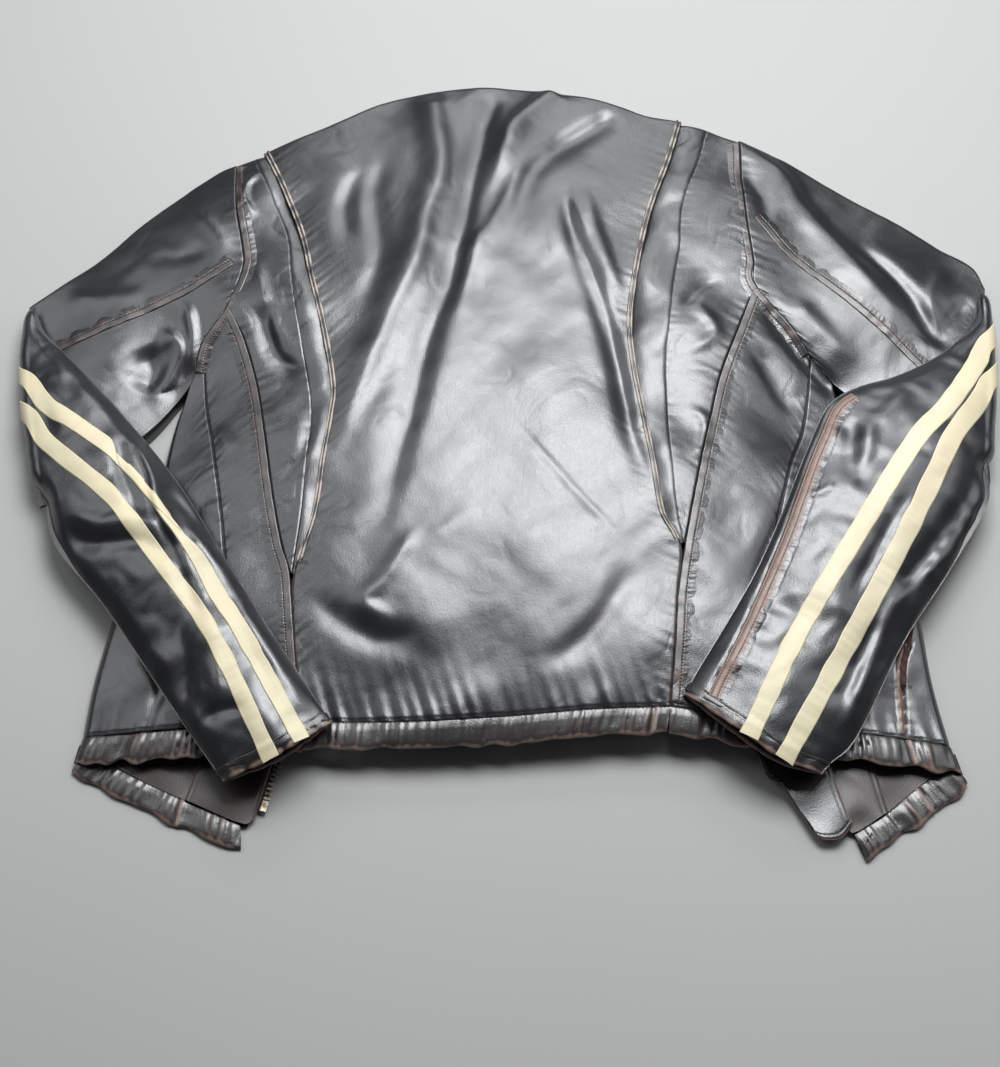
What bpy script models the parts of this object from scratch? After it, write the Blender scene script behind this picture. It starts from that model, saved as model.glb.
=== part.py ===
"""A black leather riding jacket laid face down with its front open and its forearms folded over
its back. Metres, +Z up off the surface that it lies on, +Y towards the collar, +X towards the
wearer's right. The origin is the middle of the base of the object's box."""

import math

import bmesh
import bpy
import numpy as np
from mathutils import Vector

# Driving dimensions: thicknesses and clearances
LEATHER = 0.0018
LINING = 0.0008
TAPE = 0.0006
SEAM_GAP = 0.0010
TOUCH_GAP = 0.0004
SIDE_CURL = 0.016
FLOOR_FOLD = 0.0076
SHOULDER_FOLD = 0.020
LINING_DROP = 0.0075
GUSSET_DROP = 0.0045
BAND_THICK = 0.0034
ELASTIC_THICK = 0.0012
STRIPE_THICK = 0.0010
STRIPE_LIFT = 0.0016
STRIPE_WIDTH = 0.018
PIPING_RADIUS = 0.0013
CUFF_DEPTH = 0.012

# Zip: the chain stands off the front's inside, and the slider runs along the right chain
CHAIN_Z = 0.0052
CHAIN_WIDTH = 0.005
CHAIN_THICK = 0.0022
TAPE_WIDTH = 0.015
RIGHT_ZIP_FOOT = Vector((0.2700, -0.3480, CHAIN_Z))
RIGHT_ZIP_HEAD = Vector((0.1150, 0.2720, CHAIN_Z))
LEFT_ZIP_FOOT = Vector((-0.2010, -0.3440, CHAIN_Z))
LEFT_ZIP_HEAD = Vector((-0.0465, 0.2740, CHAIN_Z))
BOX_LENGTH = 0.009
SLIDER_LENGTH = 0.014
PULL_LENGTH = 0.030
PULL_WIDTH = 0.008
PULL_THICK = 0.0010
LUG_WIDTH = 0.0024
EAR_END = 0.0010

# Seams in plan, from the collar towards the hem
NECK_AND_SHOULDERS = [(-0.239, 0.303), (-0.184, 0.337), (-0.126, 0.365), (-0.077, 0.378), (-0.007, 0.381),
                      (0.053, 0.378), (0.102, 0.366), (0.141, 0.352), (0.175, 0.348)]
PLEAT_EDGE_LEFT = [(-0.239, 0.303), (-0.214, 0.258), (-0.197, 0.210), (-0.185, 0.158), (-0.171, 0.102),
                   (-0.160, 0.042), (-0.161, 0.010), (-0.166, -0.035), (-0.171, -0.086), (-0.181, -0.141)]
PLEAT_EDGE_RIGHT = [(0.175, 0.348), (0.157, 0.294), (0.137, 0.234), (0.123, 0.169), (0.115, 0.113),
                    (0.116, 0.069), (0.123, 0.016), (0.130, -0.036), (0.136, -0.086), (0.146, -0.115)]
GUSSET_SEAM_LEFT = [(-0.246, 0.299), (-0.224, 0.252), (-0.209, 0.210), (-0.202, 0.160), (-0.188, 0.082),
                    (-0.177, 0.020), (-0.179, -0.040), (-0.181, -0.086), (-0.186, -0.141)]
GUSSET_SEAM_RIGHT = [(0.200, 0.344), (0.186, 0.300), (0.168, 0.248), (0.162, 0.195), (0.153, 0.142),
                     (0.144, 0.076), (0.143, 0.022), (0.144, -0.035), (0.146, -0.080), (0.151, -0.115)]
ARMHOLE_LEFT = [(-0.265, 0.297), (-0.261, 0.250), (-0.252, 0.205), (-0.249, 0.176), (-0.261, 0.134)]
ARMHOLE_RIGHT = [(0.227, 0.326), (0.228, 0.273), (0.229, 0.226), (0.232, 0.184), (0.232, 0.156)]
UNDERARM_LEFT = [(-0.261, 0.134), (-0.283, 0.100), (-0.290, 0.068), (-0.297, 0.052)]
UNDERARM_RIGHT = [(0.232, 0.156), (0.262, 0.116), (0.281, 0.085), (0.304, 0.056)]
PRINCESS_LEFT = [(-0.261, 0.134), (-0.244, 0.098), (-0.229, 0.049), (-0.219, 0.000), (-0.210, -0.051),
                 (-0.203, -0.086), (-0.196, -0.116), (-0.188, -0.141)]
PRINCESS_RIGHT = [(0.232, 0.156), (0.214, 0.108), (0.194, 0.056), (0.181, 0.006), (0.171, -0.034),
                  (0.163, -0.069), (0.153, -0.115)]
LOWER_SEAM_LEFT = [(-0.184, -0.143), (-0.182, -0.190), (-0.177, -0.235), (-0.173, -0.274)]
LOWER_SEAM_RIGHT = [(0.149, -0.117), (0.145, -0.160), (0.140, -0.210), (0.134, -0.262)]
SIDE_SEAM_LEFT = [(-0.283, 0.100), (-0.277, 0.040), (-0.266, -0.010), (-0.252, -0.080), (-0.243, -0.150),
                  (-0.239, -0.215), (-0.238, -0.276)]
SIDE_SEAM_RIGHT = [(0.281, 0.085), (0.276, 0.049), (0.267, 0.006), (0.250, -0.038), (0.230, -0.120),
                   (0.219, -0.205), (0.216, -0.272)]
OUTLINE_LEFT = [(-0.297, 0.052), (-0.307, 0.010), (-0.314, -0.040), (-0.326, -0.100), (-0.341, -0.165),
                (-0.352, -0.230), (-0.356, -0.282)]
OUTLINE_RIGHT = [(0.304, 0.056), (0.314, 0.008), (0.325, -0.060), (0.341, -0.122), (0.356, -0.170),
                 (0.360, -0.230), (0.369, -0.290)]

# Hem, from the wearer's left to right
HEM_STITCH_BACK = [(-0.173, -0.274), (-0.075, -0.275), (-0.003, -0.271), (0.070, -0.265), (0.134, -0.262)]
HEM_EDGE_BACK = [(-0.170, -0.297), (-0.087, -0.297), (-0.003, -0.294), (0.069, -0.287), (0.130, -0.284)]
HEM_STITCH_SIDE_LEFT = [(-0.356, -0.282), (-0.311, -0.281), (-0.238, -0.277), (-0.173, -0.274)]
HEM_EDGE_SIDE_LEFT = [(-0.360, -0.305), (-0.311, -0.305), (-0.238, -0.301), (-0.170, -0.297)]
HEM_STITCH_SIDE_RIGHT = [(0.134, -0.262), (0.216, -0.272), (0.279, -0.280), (0.369, -0.290)]
HEM_EDGE_SIDE_RIGHT = [(0.132, -0.284), (0.203, -0.295), (0.291, -0.306), (0.375, -0.314)]
HEM_STITCH_FRONT_LEFT = [(-0.350, -0.290), (-0.335, -0.300), (-0.299, -0.319), (-0.266, -0.334), (-0.219, -0.354)]
HEM_EDGE_FRONT_LEFT = [(-0.362, -0.309), (-0.342, -0.322), (-0.309, -0.337), (-0.270, -0.356), (-0.217, -0.377)]
HEM_STITCH_FRONT_RIGHT = [(0.368, -0.302), (0.355, -0.311), (0.332, -0.327), (0.311, -0.344), (0.281, -0.362)]
HEM_EDGE_FRONT_RIGHT = [(0.379, -0.319), (0.367, -0.334), (0.343, -0.349), (0.317, -0.366), (0.289, -0.384)]

# Fronts: shoulder line, neckline and front edge on the floor side
SHOULDER_LEFT = [(-0.265, 0.297), (-0.239, 0.303), (-0.184, 0.337), (-0.126, 0.365), (-0.090, 0.372)]
SHOULDER_RIGHT = [(0.118, 0.360), (0.141, 0.352), (0.175, 0.348), (0.205, 0.340), (0.227, 0.326)]
EDGE_FROM_CHAIN = 0.0085
NECKLINE_LEFT = [(-0.090, 0.368), (-0.078, 0.335), (-0.058, 0.292)]
NECKLINE_RIGHT = [(0.118, 0.356), (0.126, 0.330), (0.121, 0.292)]
FACING_WIDTH = 0.036

# Sleeves, upper arm: top outline from the shoulder, lower outline from the armpit
ARM_TOP_LEFT = [(-0.265, 0.299), (-0.291, 0.280), (-0.322, 0.246), (-0.369, 0.192), (-0.422, 0.158), (-0.456, 0.134)]
ARM_LOW_LEFT = [(-0.299, 0.050), (-0.322, 0.014), (-0.350, -0.016), (-0.385, -0.044), (-0.421, -0.060)]
ARM_TOP_RIGHT = [(0.227, 0.328), (0.287, 0.288), (0.351, 0.246), (0.414, 0.209), (0.443, 0.185), (0.457, 0.157)]
ARM_LOW_RIGHT = [(0.306, 0.056), (0.335, 0.024), (0.368, -0.005), (0.402, -0.022), (0.434, -0.032)]
CREASE_LEFT = [(-0.456, 0.134), (-0.456, 0.095), (-0.449, 0.050), (-0.435, -0.008), (-0.421, -0.060)]
CREASE_RIGHT = [(0.457, 0.157), (0.457, 0.110), (0.451, 0.056), (0.443, 0.010), (0.434, -0.032)]
ELBOW_AXIS_LEFT = (Vector((-0.4640, 0.1000, 0.0225)), Vector((-0.1961, 0.9806, 0.0)))
ELBOW_AXIS_RIGHT = (Vector((0.4620, 0.1000, 0.0225)), Vector((0.1340, 0.9910, 0.0)))

# Forearms, from the elbow crease to the cuff
FOREARM_INNER_LEFT = [(-0.453, 0.121), (-0.413, 0.083), (-0.352, 0.019), (-0.291, -0.058), (-0.227, -0.155),
                      (-0.152, -0.268)]
FOREARM_OUTER_LEFT = [(-0.423, -0.056), (-0.394, -0.112), (-0.344, -0.172), (-0.290, -0.247), (-0.238, -0.318)]
FOREARM_CREASE_LEFT = [(-0.453, 0.121), (-0.454, 0.090), (-0.448, 0.050), (-0.435, -0.008), (-0.423, -0.056)]
CUFF_LINE_LEFT = [(-0.152, -0.268), (-0.168, -0.282), (-0.196, -0.302), (-0.238, -0.318)]
FOREARM_INNER_RIGHT = [(0.455, 0.146), (0.389, 0.074), (0.318, 0.041), (0.273, -0.007), (0.215, -0.136),
                       (0.151, -0.243)]
FOREARM_OUTER_RIGHT = [(0.436, -0.030), (0.423, -0.070), (0.379, -0.140), (0.334, -0.204), (0.285, -0.290),
                       (0.262, -0.312)]
FOREARM_CREASE_RIGHT = [(0.455, 0.146), (0.456, 0.110), (0.450, 0.056), (0.443, 0.014), (0.436, -0.030)]
CUFF_LINE_RIGHT = [(0.151, -0.243), (0.190, -0.276), (0.226, -0.302), (0.262, -0.312)]
STRIPE_INNER_LEFT = [(-0.437, 0.052), (-0.415, 0.022), (-0.384, -0.001), (-0.350, -0.027), (-0.321, -0.056),
                     (-0.292, -0.094), (-0.266, -0.130), (-0.247, -0.165), (-0.224, -0.200), (-0.182, -0.272)]
STRIPE_OUTER_LEFT = [(-0.430, 0.012), (-0.412, -0.014), (-0.380, -0.044), (-0.346, -0.074), (-0.317, -0.110),
                     (-0.289, -0.147), (-0.259, -0.186), (-0.232, -0.232), (-0.206, -0.284)]
STRIPE_INNER_RIGHT = [(0.441, 0.092), (0.428, 0.068), (0.395, 0.020), (0.359, -0.021), (0.301, -0.110),
                      (0.242, -0.203), (0.206, -0.272)]
STRIPE_OUTER_RIGHT = [(0.437, 0.048), (0.424, 0.026), (0.395, -0.013), (0.372, -0.056), (0.334, -0.125),
                      (0.283, -0.212), (0.236, -0.290)]

# Heights of the upper layer's outer face over the plan, in millimetres (x, y, z)
BACK_POSTS = [
    (13, 381, 34), (13, 340, 46), (13, 250, 50), (13, 100, 50), (15, -50, 49), (15, -180, 44), (15, -260, 34),
    (0, -295, 28), (-77, 376, 33), (105, 364, 33), (-160, 348, 31), (-239, 303, 29), (175, 347, 32),
    (227, 327, 29), (-120, 250, 48), (140, 250, 48), (-205, 220, 43), (190, 220, 44), (-150, 100, 47),
    (150, 100, 47), (-230, 110, 38), (225, 110, 39), (-262, 200, 40), (235, 210, 41), (-155, -50, 43),
    (155, -50, 44), (-240, -20, 31), (235, -20, 32), (-165, -180, 37), (160, -180, 38), (-250, -150, 27),
    (245, -150, 28), (-170, -285, 26), (180, -285, 26), (-297, 55, 16), (-310, -20, 14), (-335, -140, 13),
    (-352, -230, 13), (-358, -300, 12), (306, 55, 17), (322, -50, 16), (345, -140, 15), (360, -230, 14),
    (372, -308, 13), (-300, -200, 21), (300, -200, 22), (-300, -292, 19), (300, -296, 20), (-285, -60, 22),
    (285, -60, 23), (-300, 250, 34), (-330, 180, 35), (-300, 130, 32), (-380, 120, 28), (-360, 60, 23),
    (-335, 35, 18), (-420, 100, 21), (-430, 50, 19), (-400, 5, 19), (-425, -35, 17), (-291, 281, 17),
    (-322, 248, 13), (-369, 193, 12), (-422, 159, 12), (-455, 135, 12), (-322, 14, 13), (-350, -16, 12),
    (-385, -44, 12), (-421, -60, 12), (-455, 90, 15), (-441, 10, 15), (300, 235, 34), (340, 180, 34),
    (300, 130, 33), (390, 140, 28), (350, 80, 24), (420, 110, 22), (435, 60, 19), (395, 20, 19), (425, -5, 17),
    (287, 289, 17), (351, 247, 13), (414, 210, 12), (443, 186, 12), (457, 158, 12), (335, 24, 13), (368, -5, 12),
    (402, -22, 12), (434, -32, 12), (457, 110, 15), (447, 30, 15)]
FOREARM_TOP_POSTS = {
    "left": [(-453, 121, 30), (-454, 90, 30), (-448, 50, 30), (-435, -8, 30), (-423, -56, 30), (-413, 83, 34), (-352, 19, 38),
             (-291, -58, 41), (-227, -155, 42), (-152, -268, 41), (-394, -112, 34), (-344, -172, 34),
             (-290, -247, 35), (-238, -318, 37), (-425, 35, 43), (-390, -20, 50), (-340, -75, 54),
             (-285, -135, 55), (-240, -200, 54), (-196, -285, 53)],
    "right": [(455, 146, 30), (456, 110, 30), (450, 56, 30), (443, 14, 30), (436, -30, 30), (422, 108, 34), (389, 74, 37),
              (318, 41, 41), (273, -7, 43), (215, -136, 43), (151, -243, 41), (423, -70, 34), (379, -140, 35),
              (334, -204, 35), (285, -290, 37), (262, -312, 37), (425, 35, 44), (380, -20, 53), (330, -80, 57),
              (280, -160, 57), (230, -235, 54), (210, -275, 53)]}
FOREARM_UNDER_POSTS = {
    "left": [(-453, 121, 24.8), (-454, 90, 24.8), (-448, 50, 24.8), (-435, -8, 24.8), (-423, -56, 24.8), (-413, 83, 28),
             (-352, 19, 32), (-291, -58, 35), (-227, -155, 37), (-152, -268, 36), (-394, -112, 29),
             (-344, -172, 29), (-290, -247, 30), (-238, -318, 32), (-390, -20, 26), (-340, -75, 29),
             (-285, -135, 33), (-240, -200, 34), (-196, -285, 34)],
    "right": [(455, 146, 24.8), (456, 110, 24.8), (450, 56, 24.8), (443, 14, 24.8), (436, -30, 24.8), (422, 108, 28.5), (389, 74, 31),
              (318, 41, 35), (273, -7, 37), (215, -136, 38), (151, -243, 36), (423, -70, 29), (379, -140, 30),
              (334, -204, 30), (285, -290, 32), (262, -312, 32), (380, -20, 27), (330, -80, 30), (280, -160, 34),
              (230, -235, 35), (210, -275, 34)]}


# Colours: base colour, roughness, metallic
FINISHES = {
    "leather_black": ((0.025, 0.025, 0.028), 0.42, 0.0),
    "piping_tan": ((0.22, 0.15, 0.11), 0.60, 0.0),
    "stripe_cream": ((0.80, 0.75, 0.56), 0.50, 0.0),
    "lining_brown": ((0.10, 0.045, 0.035), 0.85, 0.0),
    "tape_black": ((0.03, 0.03, 0.03), 0.90, 0.0),
    "zip_metal": ((0.55, 0.50, 0.42), 0.35, 1.0),
}


def start_scene():
    """Clears the scene and returns the jacket's collection."""
    for obj in list(bpy.data.objects):
        bpy.data.objects.remove(obj, do_unlink=True)
    collection = bpy.data.collections.new("leather_jacket")
    bpy.context.scene.collection.children.link(collection)
    return collection


def make_finish(name):
    colour, roughness, metallic = FINISHES[name]
    material = bpy.data.materials.new(name)
    material.use_nodes = True
    shader = material.node_tree.nodes["Principled BSDF"]
    shader.inputs["Base Color"].default_value = (*colour, 1.0)
    shader.inputs["Roughness"].default_value = roughness
    shader.inputs["Metallic"].default_value = metallic
    return material


COLLECTION = start_scene()
MATERIALS = {name: make_finish(name) for name in FINISHES}


def add_object(name, mesh, finish, parent=None):
    """Links a mesh as a named piece with its finish, parented where it moves."""
    mesh.materials.append(MATERIALS[finish])
    mesh.shade_smooth()
    mesh.set_sharp_from_angle(angle=math.radians(35))
    piece = bpy.data.objects.new(name, mesh)
    COLLECTION.objects.link(piece)
    if parent:
        piece.parent = parent
        piece.matrix_parent_inverse = parent.matrix_world.inverted()
    return piece


def add_pivot(name, place):
    pivot = bpy.data.objects.new(name, None)
    pivot.location = place
    COLLECTION.objects.link(pivot)
    bpy.context.view_layer.update()
    return pivot


class Curve:
    """A smooth plan curve through hand-placed points, read by its share of length."""

    STEPS = 8

    def __init__(self, points):
        knots = np.array(points, float)
        ends = np.vstack([2 * knots[0] - knots[1], knots, 2 * knots[-1] - knots[-2]])
        fine = [knots[0]]
        for before, start, stop, after in zip(ends, ends[1:], ends[2:], ends[3:]):
            for step in range(1, self.STEPS + 1):
                t = step / self.STEPS
                fine.append(0.5 * (2 * start + (stop - before) * t
                                   + (2 * before - 5 * start + 4 * stop - after) * t * t
                                   + (3 * start - before - 3 * stop + after) * t ** 3))
        self.points = np.array(fine)
        lengths = np.linalg.norm(np.diff(self.points, axis=0), axis=1)
        self.total = lengths.sum()
        self.shares = np.concatenate([[0.0], np.cumsum(lengths)]) / self.total

    def at(self, share):
        return np.array([np.interp(share, self.shares, axis) for axis in self.points.T])

    def side(self, share, distance):
        """The point beside the curve, positive to the left of its direction."""
        step = 0.01
        ahead, behind = self.at(min(share + step, 1)), self.at(max(share - step, 0))
        along = (ahead - behind) / np.linalg.norm(ahead - behind)
        return self.at(share) + distance * np.array([-along[1], along[0]])


class HeightField:
    """A thin-plate surface through posts given in millimetres."""

    def __init__(self, posts):
        data = np.array(posts, float) / 1000
        self.places, heights = data[:, :2], data[:, 2]
        count = len(posts)
        system = np.zeros((count + 3, count + 3))
        system[:count, :count] = self.bend(self.places[:, None] - self.places[None])
        system[:count, count] = 1
        system[:count, count + 1:] = self.places
        system[count:, :count] = system[:count, count:].T
        self.weights = np.linalg.solve(system, np.concatenate([heights, np.zeros(3)]))

    @staticmethod
    def bend(offsets):
        squared = (offsets ** 2).sum(axis=-1)
        return 0.5 * squared * np.log(squared + 1e-12)

    def __call__(self, x, y):
        here = np.array([x, y])
        return float(self.bend(here - self.places) @ self.weights[:-3]
                     + self.weights[-3] + self.weights[-2:] @ here)


BACK_HEIGHT = HeightField(BACK_POSTS)
FOREARM_TOP = {side: HeightField(posts) for side, posts in FOREARM_TOP_POSTS.items()}
FOREARM_UNDER = {side: HeightField(posts) for side, posts in FOREARM_UNDER_POSTS.items()}


def straight(start, stop):
    return Curve([start, stop])


def coons(left, right, head, foot):
    """A plan patch between four curves: left and right run from head to foot."""

    def place(u, v):
        corners = ((1 - u) * (1 - v) * left.at(0) + u * (1 - v) * right.at(0)
                   + (1 - u) * v * left.at(1) + u * v * right.at(1))
        sides = (1 - u) * left.at(v) + u * right.at(v)
        ends = (1 - v) * head.at(u) + v * foot.at(u)
        return sides + ends - corners

    return place


def grid_mesh(name, surface, across, along):
    """A grid whose vertices are moved onto surface(u, v), which gives x, y, z."""
    bm = bmesh.new()
    bmesh.ops.create_grid(bm, x_segments=across, y_segments=along, size=0.5)
    for vertex in bm.verts:
        vertex.co = Vector(surface(vertex.co.x + 0.5, 0.5 - vertex.co.y))
    bmesh.ops.recalc_face_normals(bm, faces=bm.faces)
    mesh = bpy.data.meshes.new(name)
    return bm, mesh


def thicken(bm, rise):
    """Gives a sheet its thickness straight up or down."""
    made = bmesh.ops.extrude_face_region(bm, geom=bm.faces[:])
    moved = [item for item in made["geom"] if isinstance(item, bmesh.types.BMVert)]
    bmesh.ops.translate(bm, vec=(0, 0, rise), verts=moved)
    bmesh.ops.recalc_face_normals(bm, faces=bm.faces)


def panel(name, left, right, height, rise, finish, across=4, along=10, head=None, foot=None, parent=None,
          gap=SEAM_GAP):
    """A leather or lining panel cut between two seams, its face at height(x, y), its wall rising by rise."""
    left, right = Curve(left), Curve(right)
    head = Curve(head) if head else straight(left.at(0), right.at(0))
    foot = Curve(foot) if foot else straight(left.at(1), right.at(1))
    plan = coons(left, right, head, foot)
    long_gap = gap / min(left.total, right.total)

    def surface(u, v):
        v = long_gap + v * (1 - 2 * long_gap)
        width = np.linalg.norm(plan(1, v) - plan(0, v))
        wide_gap = min(gap / max(width, 1e-6), 0.3)
        x, y = plan(wide_gap + u * (1 - 2 * wide_gap), v)
        return x, y, height(x, y)

    bm, mesh = grid_mesh(name, surface, across, along)
    thicken(bm, rise)
    bm.to_mesh(mesh)
    bm.free()
    return add_object(name, mesh, finish, parent)


def strip(name, middle, width, height, rise, finish, along=12, across=2, parent=None, ends=(0.0, 1.0)):
    """A strip of even width along a plan curve."""
    curve = Curve(middle)

    def surface(u, v):
        share = ends[0] + (ends[1] - ends[0]) * v
        x, y = curve.side(share, (0.5 - u) * width)
        return x, y, height(x, y)

    bm, mesh = grid_mesh(name, surface, across, along)
    thicken(bm, rise)
    bm.to_mesh(mesh)
    bm.free()
    return add_object(name, mesh, finish, parent)


def tube(name, points, radius, finish):
    """A round cord of leather, such as piping, as a bevelled curve."""
    data = bpy.data.curves.new(name, "CURVE")
    data.dimensions = "3D"
    data.bevel_depth = radius
    data.bevel_resolution = 1
    data.use_fill_caps = True
    spline = data.splines.new("POLY")
    spline.points.add(len(points) - 1)
    for point, place in zip(spline.points, points):
        point.co = (*place, 1)
    piece = bpy.data.objects.new(name, data)
    data.materials.append(MATERIALS[finish])
    COLLECTION.objects.link(piece)


def prism(name, profile, start, direction, length, finish, parent=None):
    """A profile of (beside, z) points swept level along a direction; beside is to the direction's right."""
    along = Vector((direction.x, direction.y, 0)).normalized()
    beside = Vector((along.y, -along.x, 0))
    bm = bmesh.new()
    ring = [bm.verts.new(Vector((start.x, start.y, 0)) + beside * across + Vector((0, 0, z)))
            for across, z in profile]
    face = bm.faces.new(ring)
    made = bmesh.ops.extrude_face_region(bm, geom=[face])
    moved = [item for item in made["geom"] if isinstance(item, bmesh.types.BMVert)]
    bmesh.ops.translate(bm, vec=along * length, verts=moved)
    bmesh.ops.recalc_face_normals(bm, faces=bm.faces)
    mesh = bpy.data.meshes.new(name)
    bm.to_mesh(mesh)
    bm.free()
    return add_object(name, mesh, finish, parent)


def bar_profile(low, high, bottom, top):
    return [(low, bottom), (high, bottom), (high, top), (low, top)]


def distance_to(points, x, y):
    """The level distance from a place to a fine curve's points."""
    return float(np.min(np.hypot(points[:, 0] - x, points[:, 1] - y)))


def back_face(x, y):
    return BACK_HEIGHT(x, y)


def lowered(height, drop):
    return lambda x, y: height(x, y) - drop


def floor_face(folds):
    """Height of a floor-side panel: flat, and curling up where it nears each (curve, rise, reach)."""
    fine = [(Curve(points).points, rise, reach) for points, rise, reach in folds]

    def height(x, y):
        rises = [rise * max(0.0, 1 - distance_to(points, x, y) / reach) ** 2 for points, rise, reach in fine]
        return max(rises)

    return height


def beside_chain(foot, head, share, distance):
    """A plan point at a share of the chain's length, offset to the right of foot-to-head."""
    along = (head - foot).to_2d().normalized()
    place = foot.to_2d().lerp(head.to_2d(), share) + Vector((along.y, -along.x)) * distance
    return tuple(place)


def build_back():
    """Centre back, pleats, side backs and side panels, all on the upper layer."""
    panel("back_panel", PLEAT_EDGE_LEFT + LOWER_SEAM_LEFT, PLEAT_EDGE_RIGHT + LOWER_SEAM_RIGHT, back_face,
          -LEATHER, "leather_black", across=12, along=18, head=NECK_AND_SHOULDERS, foot=HEM_STITCH_BACK)
    for side, edge, seam, armhole, princess, turn in (
            ("left", PLEAT_EDGE_LEFT, GUSSET_SEAM_LEFT, ARMHOLE_LEFT, PRINCESS_LEFT, 1),
            ("right", PLEAT_EDGE_RIGHT, GUSSET_SEAM_RIGHT, ARMHOLE_RIGHT, PRINCESS_RIGHT, -1)):
        tucked = [(x + 0.010 * turn, y) for x, y in edge]
        tucked[-1] = (edge[-1][0] + 0.002 * turn, edge[-1][1])
        panel(f"pleat_gusset_{side}", tucked, seam, lowered(back_face, GUSSET_DROP), -LEATHER,
              "leather_black", across=2, along=14)
        curve = Curve(edge)
        offset = -turn * (PIPING_RADIUS + SEAM_GAP)
        places = [curve.side(share, offset) for share in np.linspace(0.02, 0.985, 22)]
        tube(f"pleat_piping_{side}", [(x, y, back_face(x, y) - 0.5 * LEATHER) for x, y in places],
             PIPING_RADIUS, "piping_tan")
        clear = [(x - 0.0022 * turn, y) for x, y in seam]
        panel(f"side_back_panel_{side}", clear, armhole + princess[1:], back_face, -LEATHER,
              "leather_black", across=4, along=16)


def build_sides():
    """Side and underarm panels, from the princess seams to the side folds."""
    panel("side_panel_left", PRINCESS_LEFT + LOWER_SEAM_LEFT[1:], SIDE_SEAM_LEFT, back_face, -LEATHER,
          "leather_black", across=4, along=12, head=UNDERARM_LEFT[:2],
          foot=[LOWER_SEAM_LEFT[-1], SIDE_SEAM_LEFT[-1]])
    panel("side_panel_right", PRINCESS_RIGHT + LOWER_SEAM_RIGHT[1:], SIDE_SEAM_RIGHT, back_face, -LEATHER,
          "leather_black", across=4, along=12, head=UNDERARM_RIGHT[:3],
          foot=HEM_STITCH_SIDE_RIGHT[:2])
    panel("underarm_panel_left", SIDE_SEAM_LEFT, OUTLINE_LEFT, back_face, -LEATHER, "leather_black",
          across=5, along=12, head=UNDERARM_LEFT[1:])
    panel("underarm_panel_right", SIDE_SEAM_RIGHT, OUTLINE_RIGHT, back_face, -LEATHER, "leather_black",
          across=6, along=12, head=UNDERARM_RIGHT[2:])


def build_fronts():
    """Fronts, facings, linings and pockets, on the floor side."""
    for side, outline, armhole, shoulder, neckline, stitch, foot, head, turn in (
            ("left", OUTLINE_LEFT, ARMHOLE_LEFT + UNDERARM_LEFT[1:], SHOULDER_LEFT, NECKLINE_LEFT,
             HEM_STITCH_FRONT_LEFT, LEFT_ZIP_FOOT, LEFT_ZIP_HEAD, 1),
            ("right", OUTLINE_RIGHT, ARMHOLE_RIGHT + UNDERARM_RIGHT[1:], SHOULDER_RIGHT[::-1], NECKLINE_RIGHT,
             HEM_STITCH_FRONT_RIGHT, RIGHT_ZIP_FOOT, RIGHT_ZIP_HEAD, -1)):
        edge = [beside_chain(foot, head, share, -turn * EDGE_FROM_CHAIN) for share in (0.97, 0.6, 0.3, 0.0)]
        outer = armhole + outline[1:] + [stitch[0]]
        inner = neckline + edge + [stitch[-1]]
        folds = [(outline, FLOOR_FOLD, SIDE_CURL), (shoulder, SHOULDER_FOLD, 0.030)]
        floor = floor_face(folds)
        inset = [(x + 0.003 * turn, y) for x, y in outer]
        panel(f"front_panel_{side}", inset, inner, floor, LEATHER, "leather_black",
              across=8, along=20, head=shoulder, foot=stitch)
        strip(f"front_facing_{side}",
              [beside_chain(foot, head, share, -turn * (EDGE_FROM_CHAIN + 0.5 * FACING_WIDTH - 0.004))
               for share in (0.95, 0.5, 0.02)], FACING_WIDTH, lambda x, y: CHAIN_Z + 0.0014, LINING,
              "lining_brown", along=8)
        lining_edge = [beside_chain(foot, head, share, -turn * (EDGE_FROM_CHAIN + FACING_WIDTH - 0.010))
                       for share in (0.95, 0.5, 0.05)]
        lining_side = [(x + 0.034 * turn, y) for x, y in [armhole[3], outline[1], outline[-2]]]
        panel(f"front_lining_{side}", lining_side, lining_edge, lambda x, y: 0.0032, LINING,
              "lining_brown", across=4, along=8)


def build_pockets():
    """Side pockets: a welt at each mouth and a bag inside."""
    pocket = [(0.338, -0.168), (0.333, -0.215), (0.332, -0.262)]
    strip("pocket_welt_right", pocket, 0.008, lambda x, y: back_face(x, y) + 0.0004, 0.0012,
          "leather_black", along=8, across=1)
    strip("pocket_welt_left", [(-0.300, -0.165), (-0.312, -0.262)], 0.012,
          lambda x, y: 0.0023, 0.0007, "leather_black", along=4, across=1)
    strip("pocket_bag_right", [(0.298, -0.135), (0.302, -0.275)], 0.062, lambda x, y: 0.0100, LINING,
          "lining_brown", along=6, across=4)
    strip("pocket_bag_left", [(-0.262, -0.135), (-0.268, -0.275)], 0.060, lambda x, y: 0.0100, LINING,
          "lining_brown", along=6, across=4)


def build_linings():
    """The back lining, hung under the back and clear of the gussets."""
    left = [(-0.215, 0.270), (-0.222, 0.120), (-0.250, -0.050), (-0.280, -0.250)]
    right = [(0.180, 0.300), (0.205, 0.120), (0.245, -0.050), (0.285, -0.250)]
    panel("back_lining", left, right, lowered(back_face, LINING_DROP), -LINING, "lining_brown",
          across=8, along=10, head=[(-0.215, 0.270), (-0.070, 0.345), (0.090, 0.340), (0.180, 0.300)])


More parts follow.
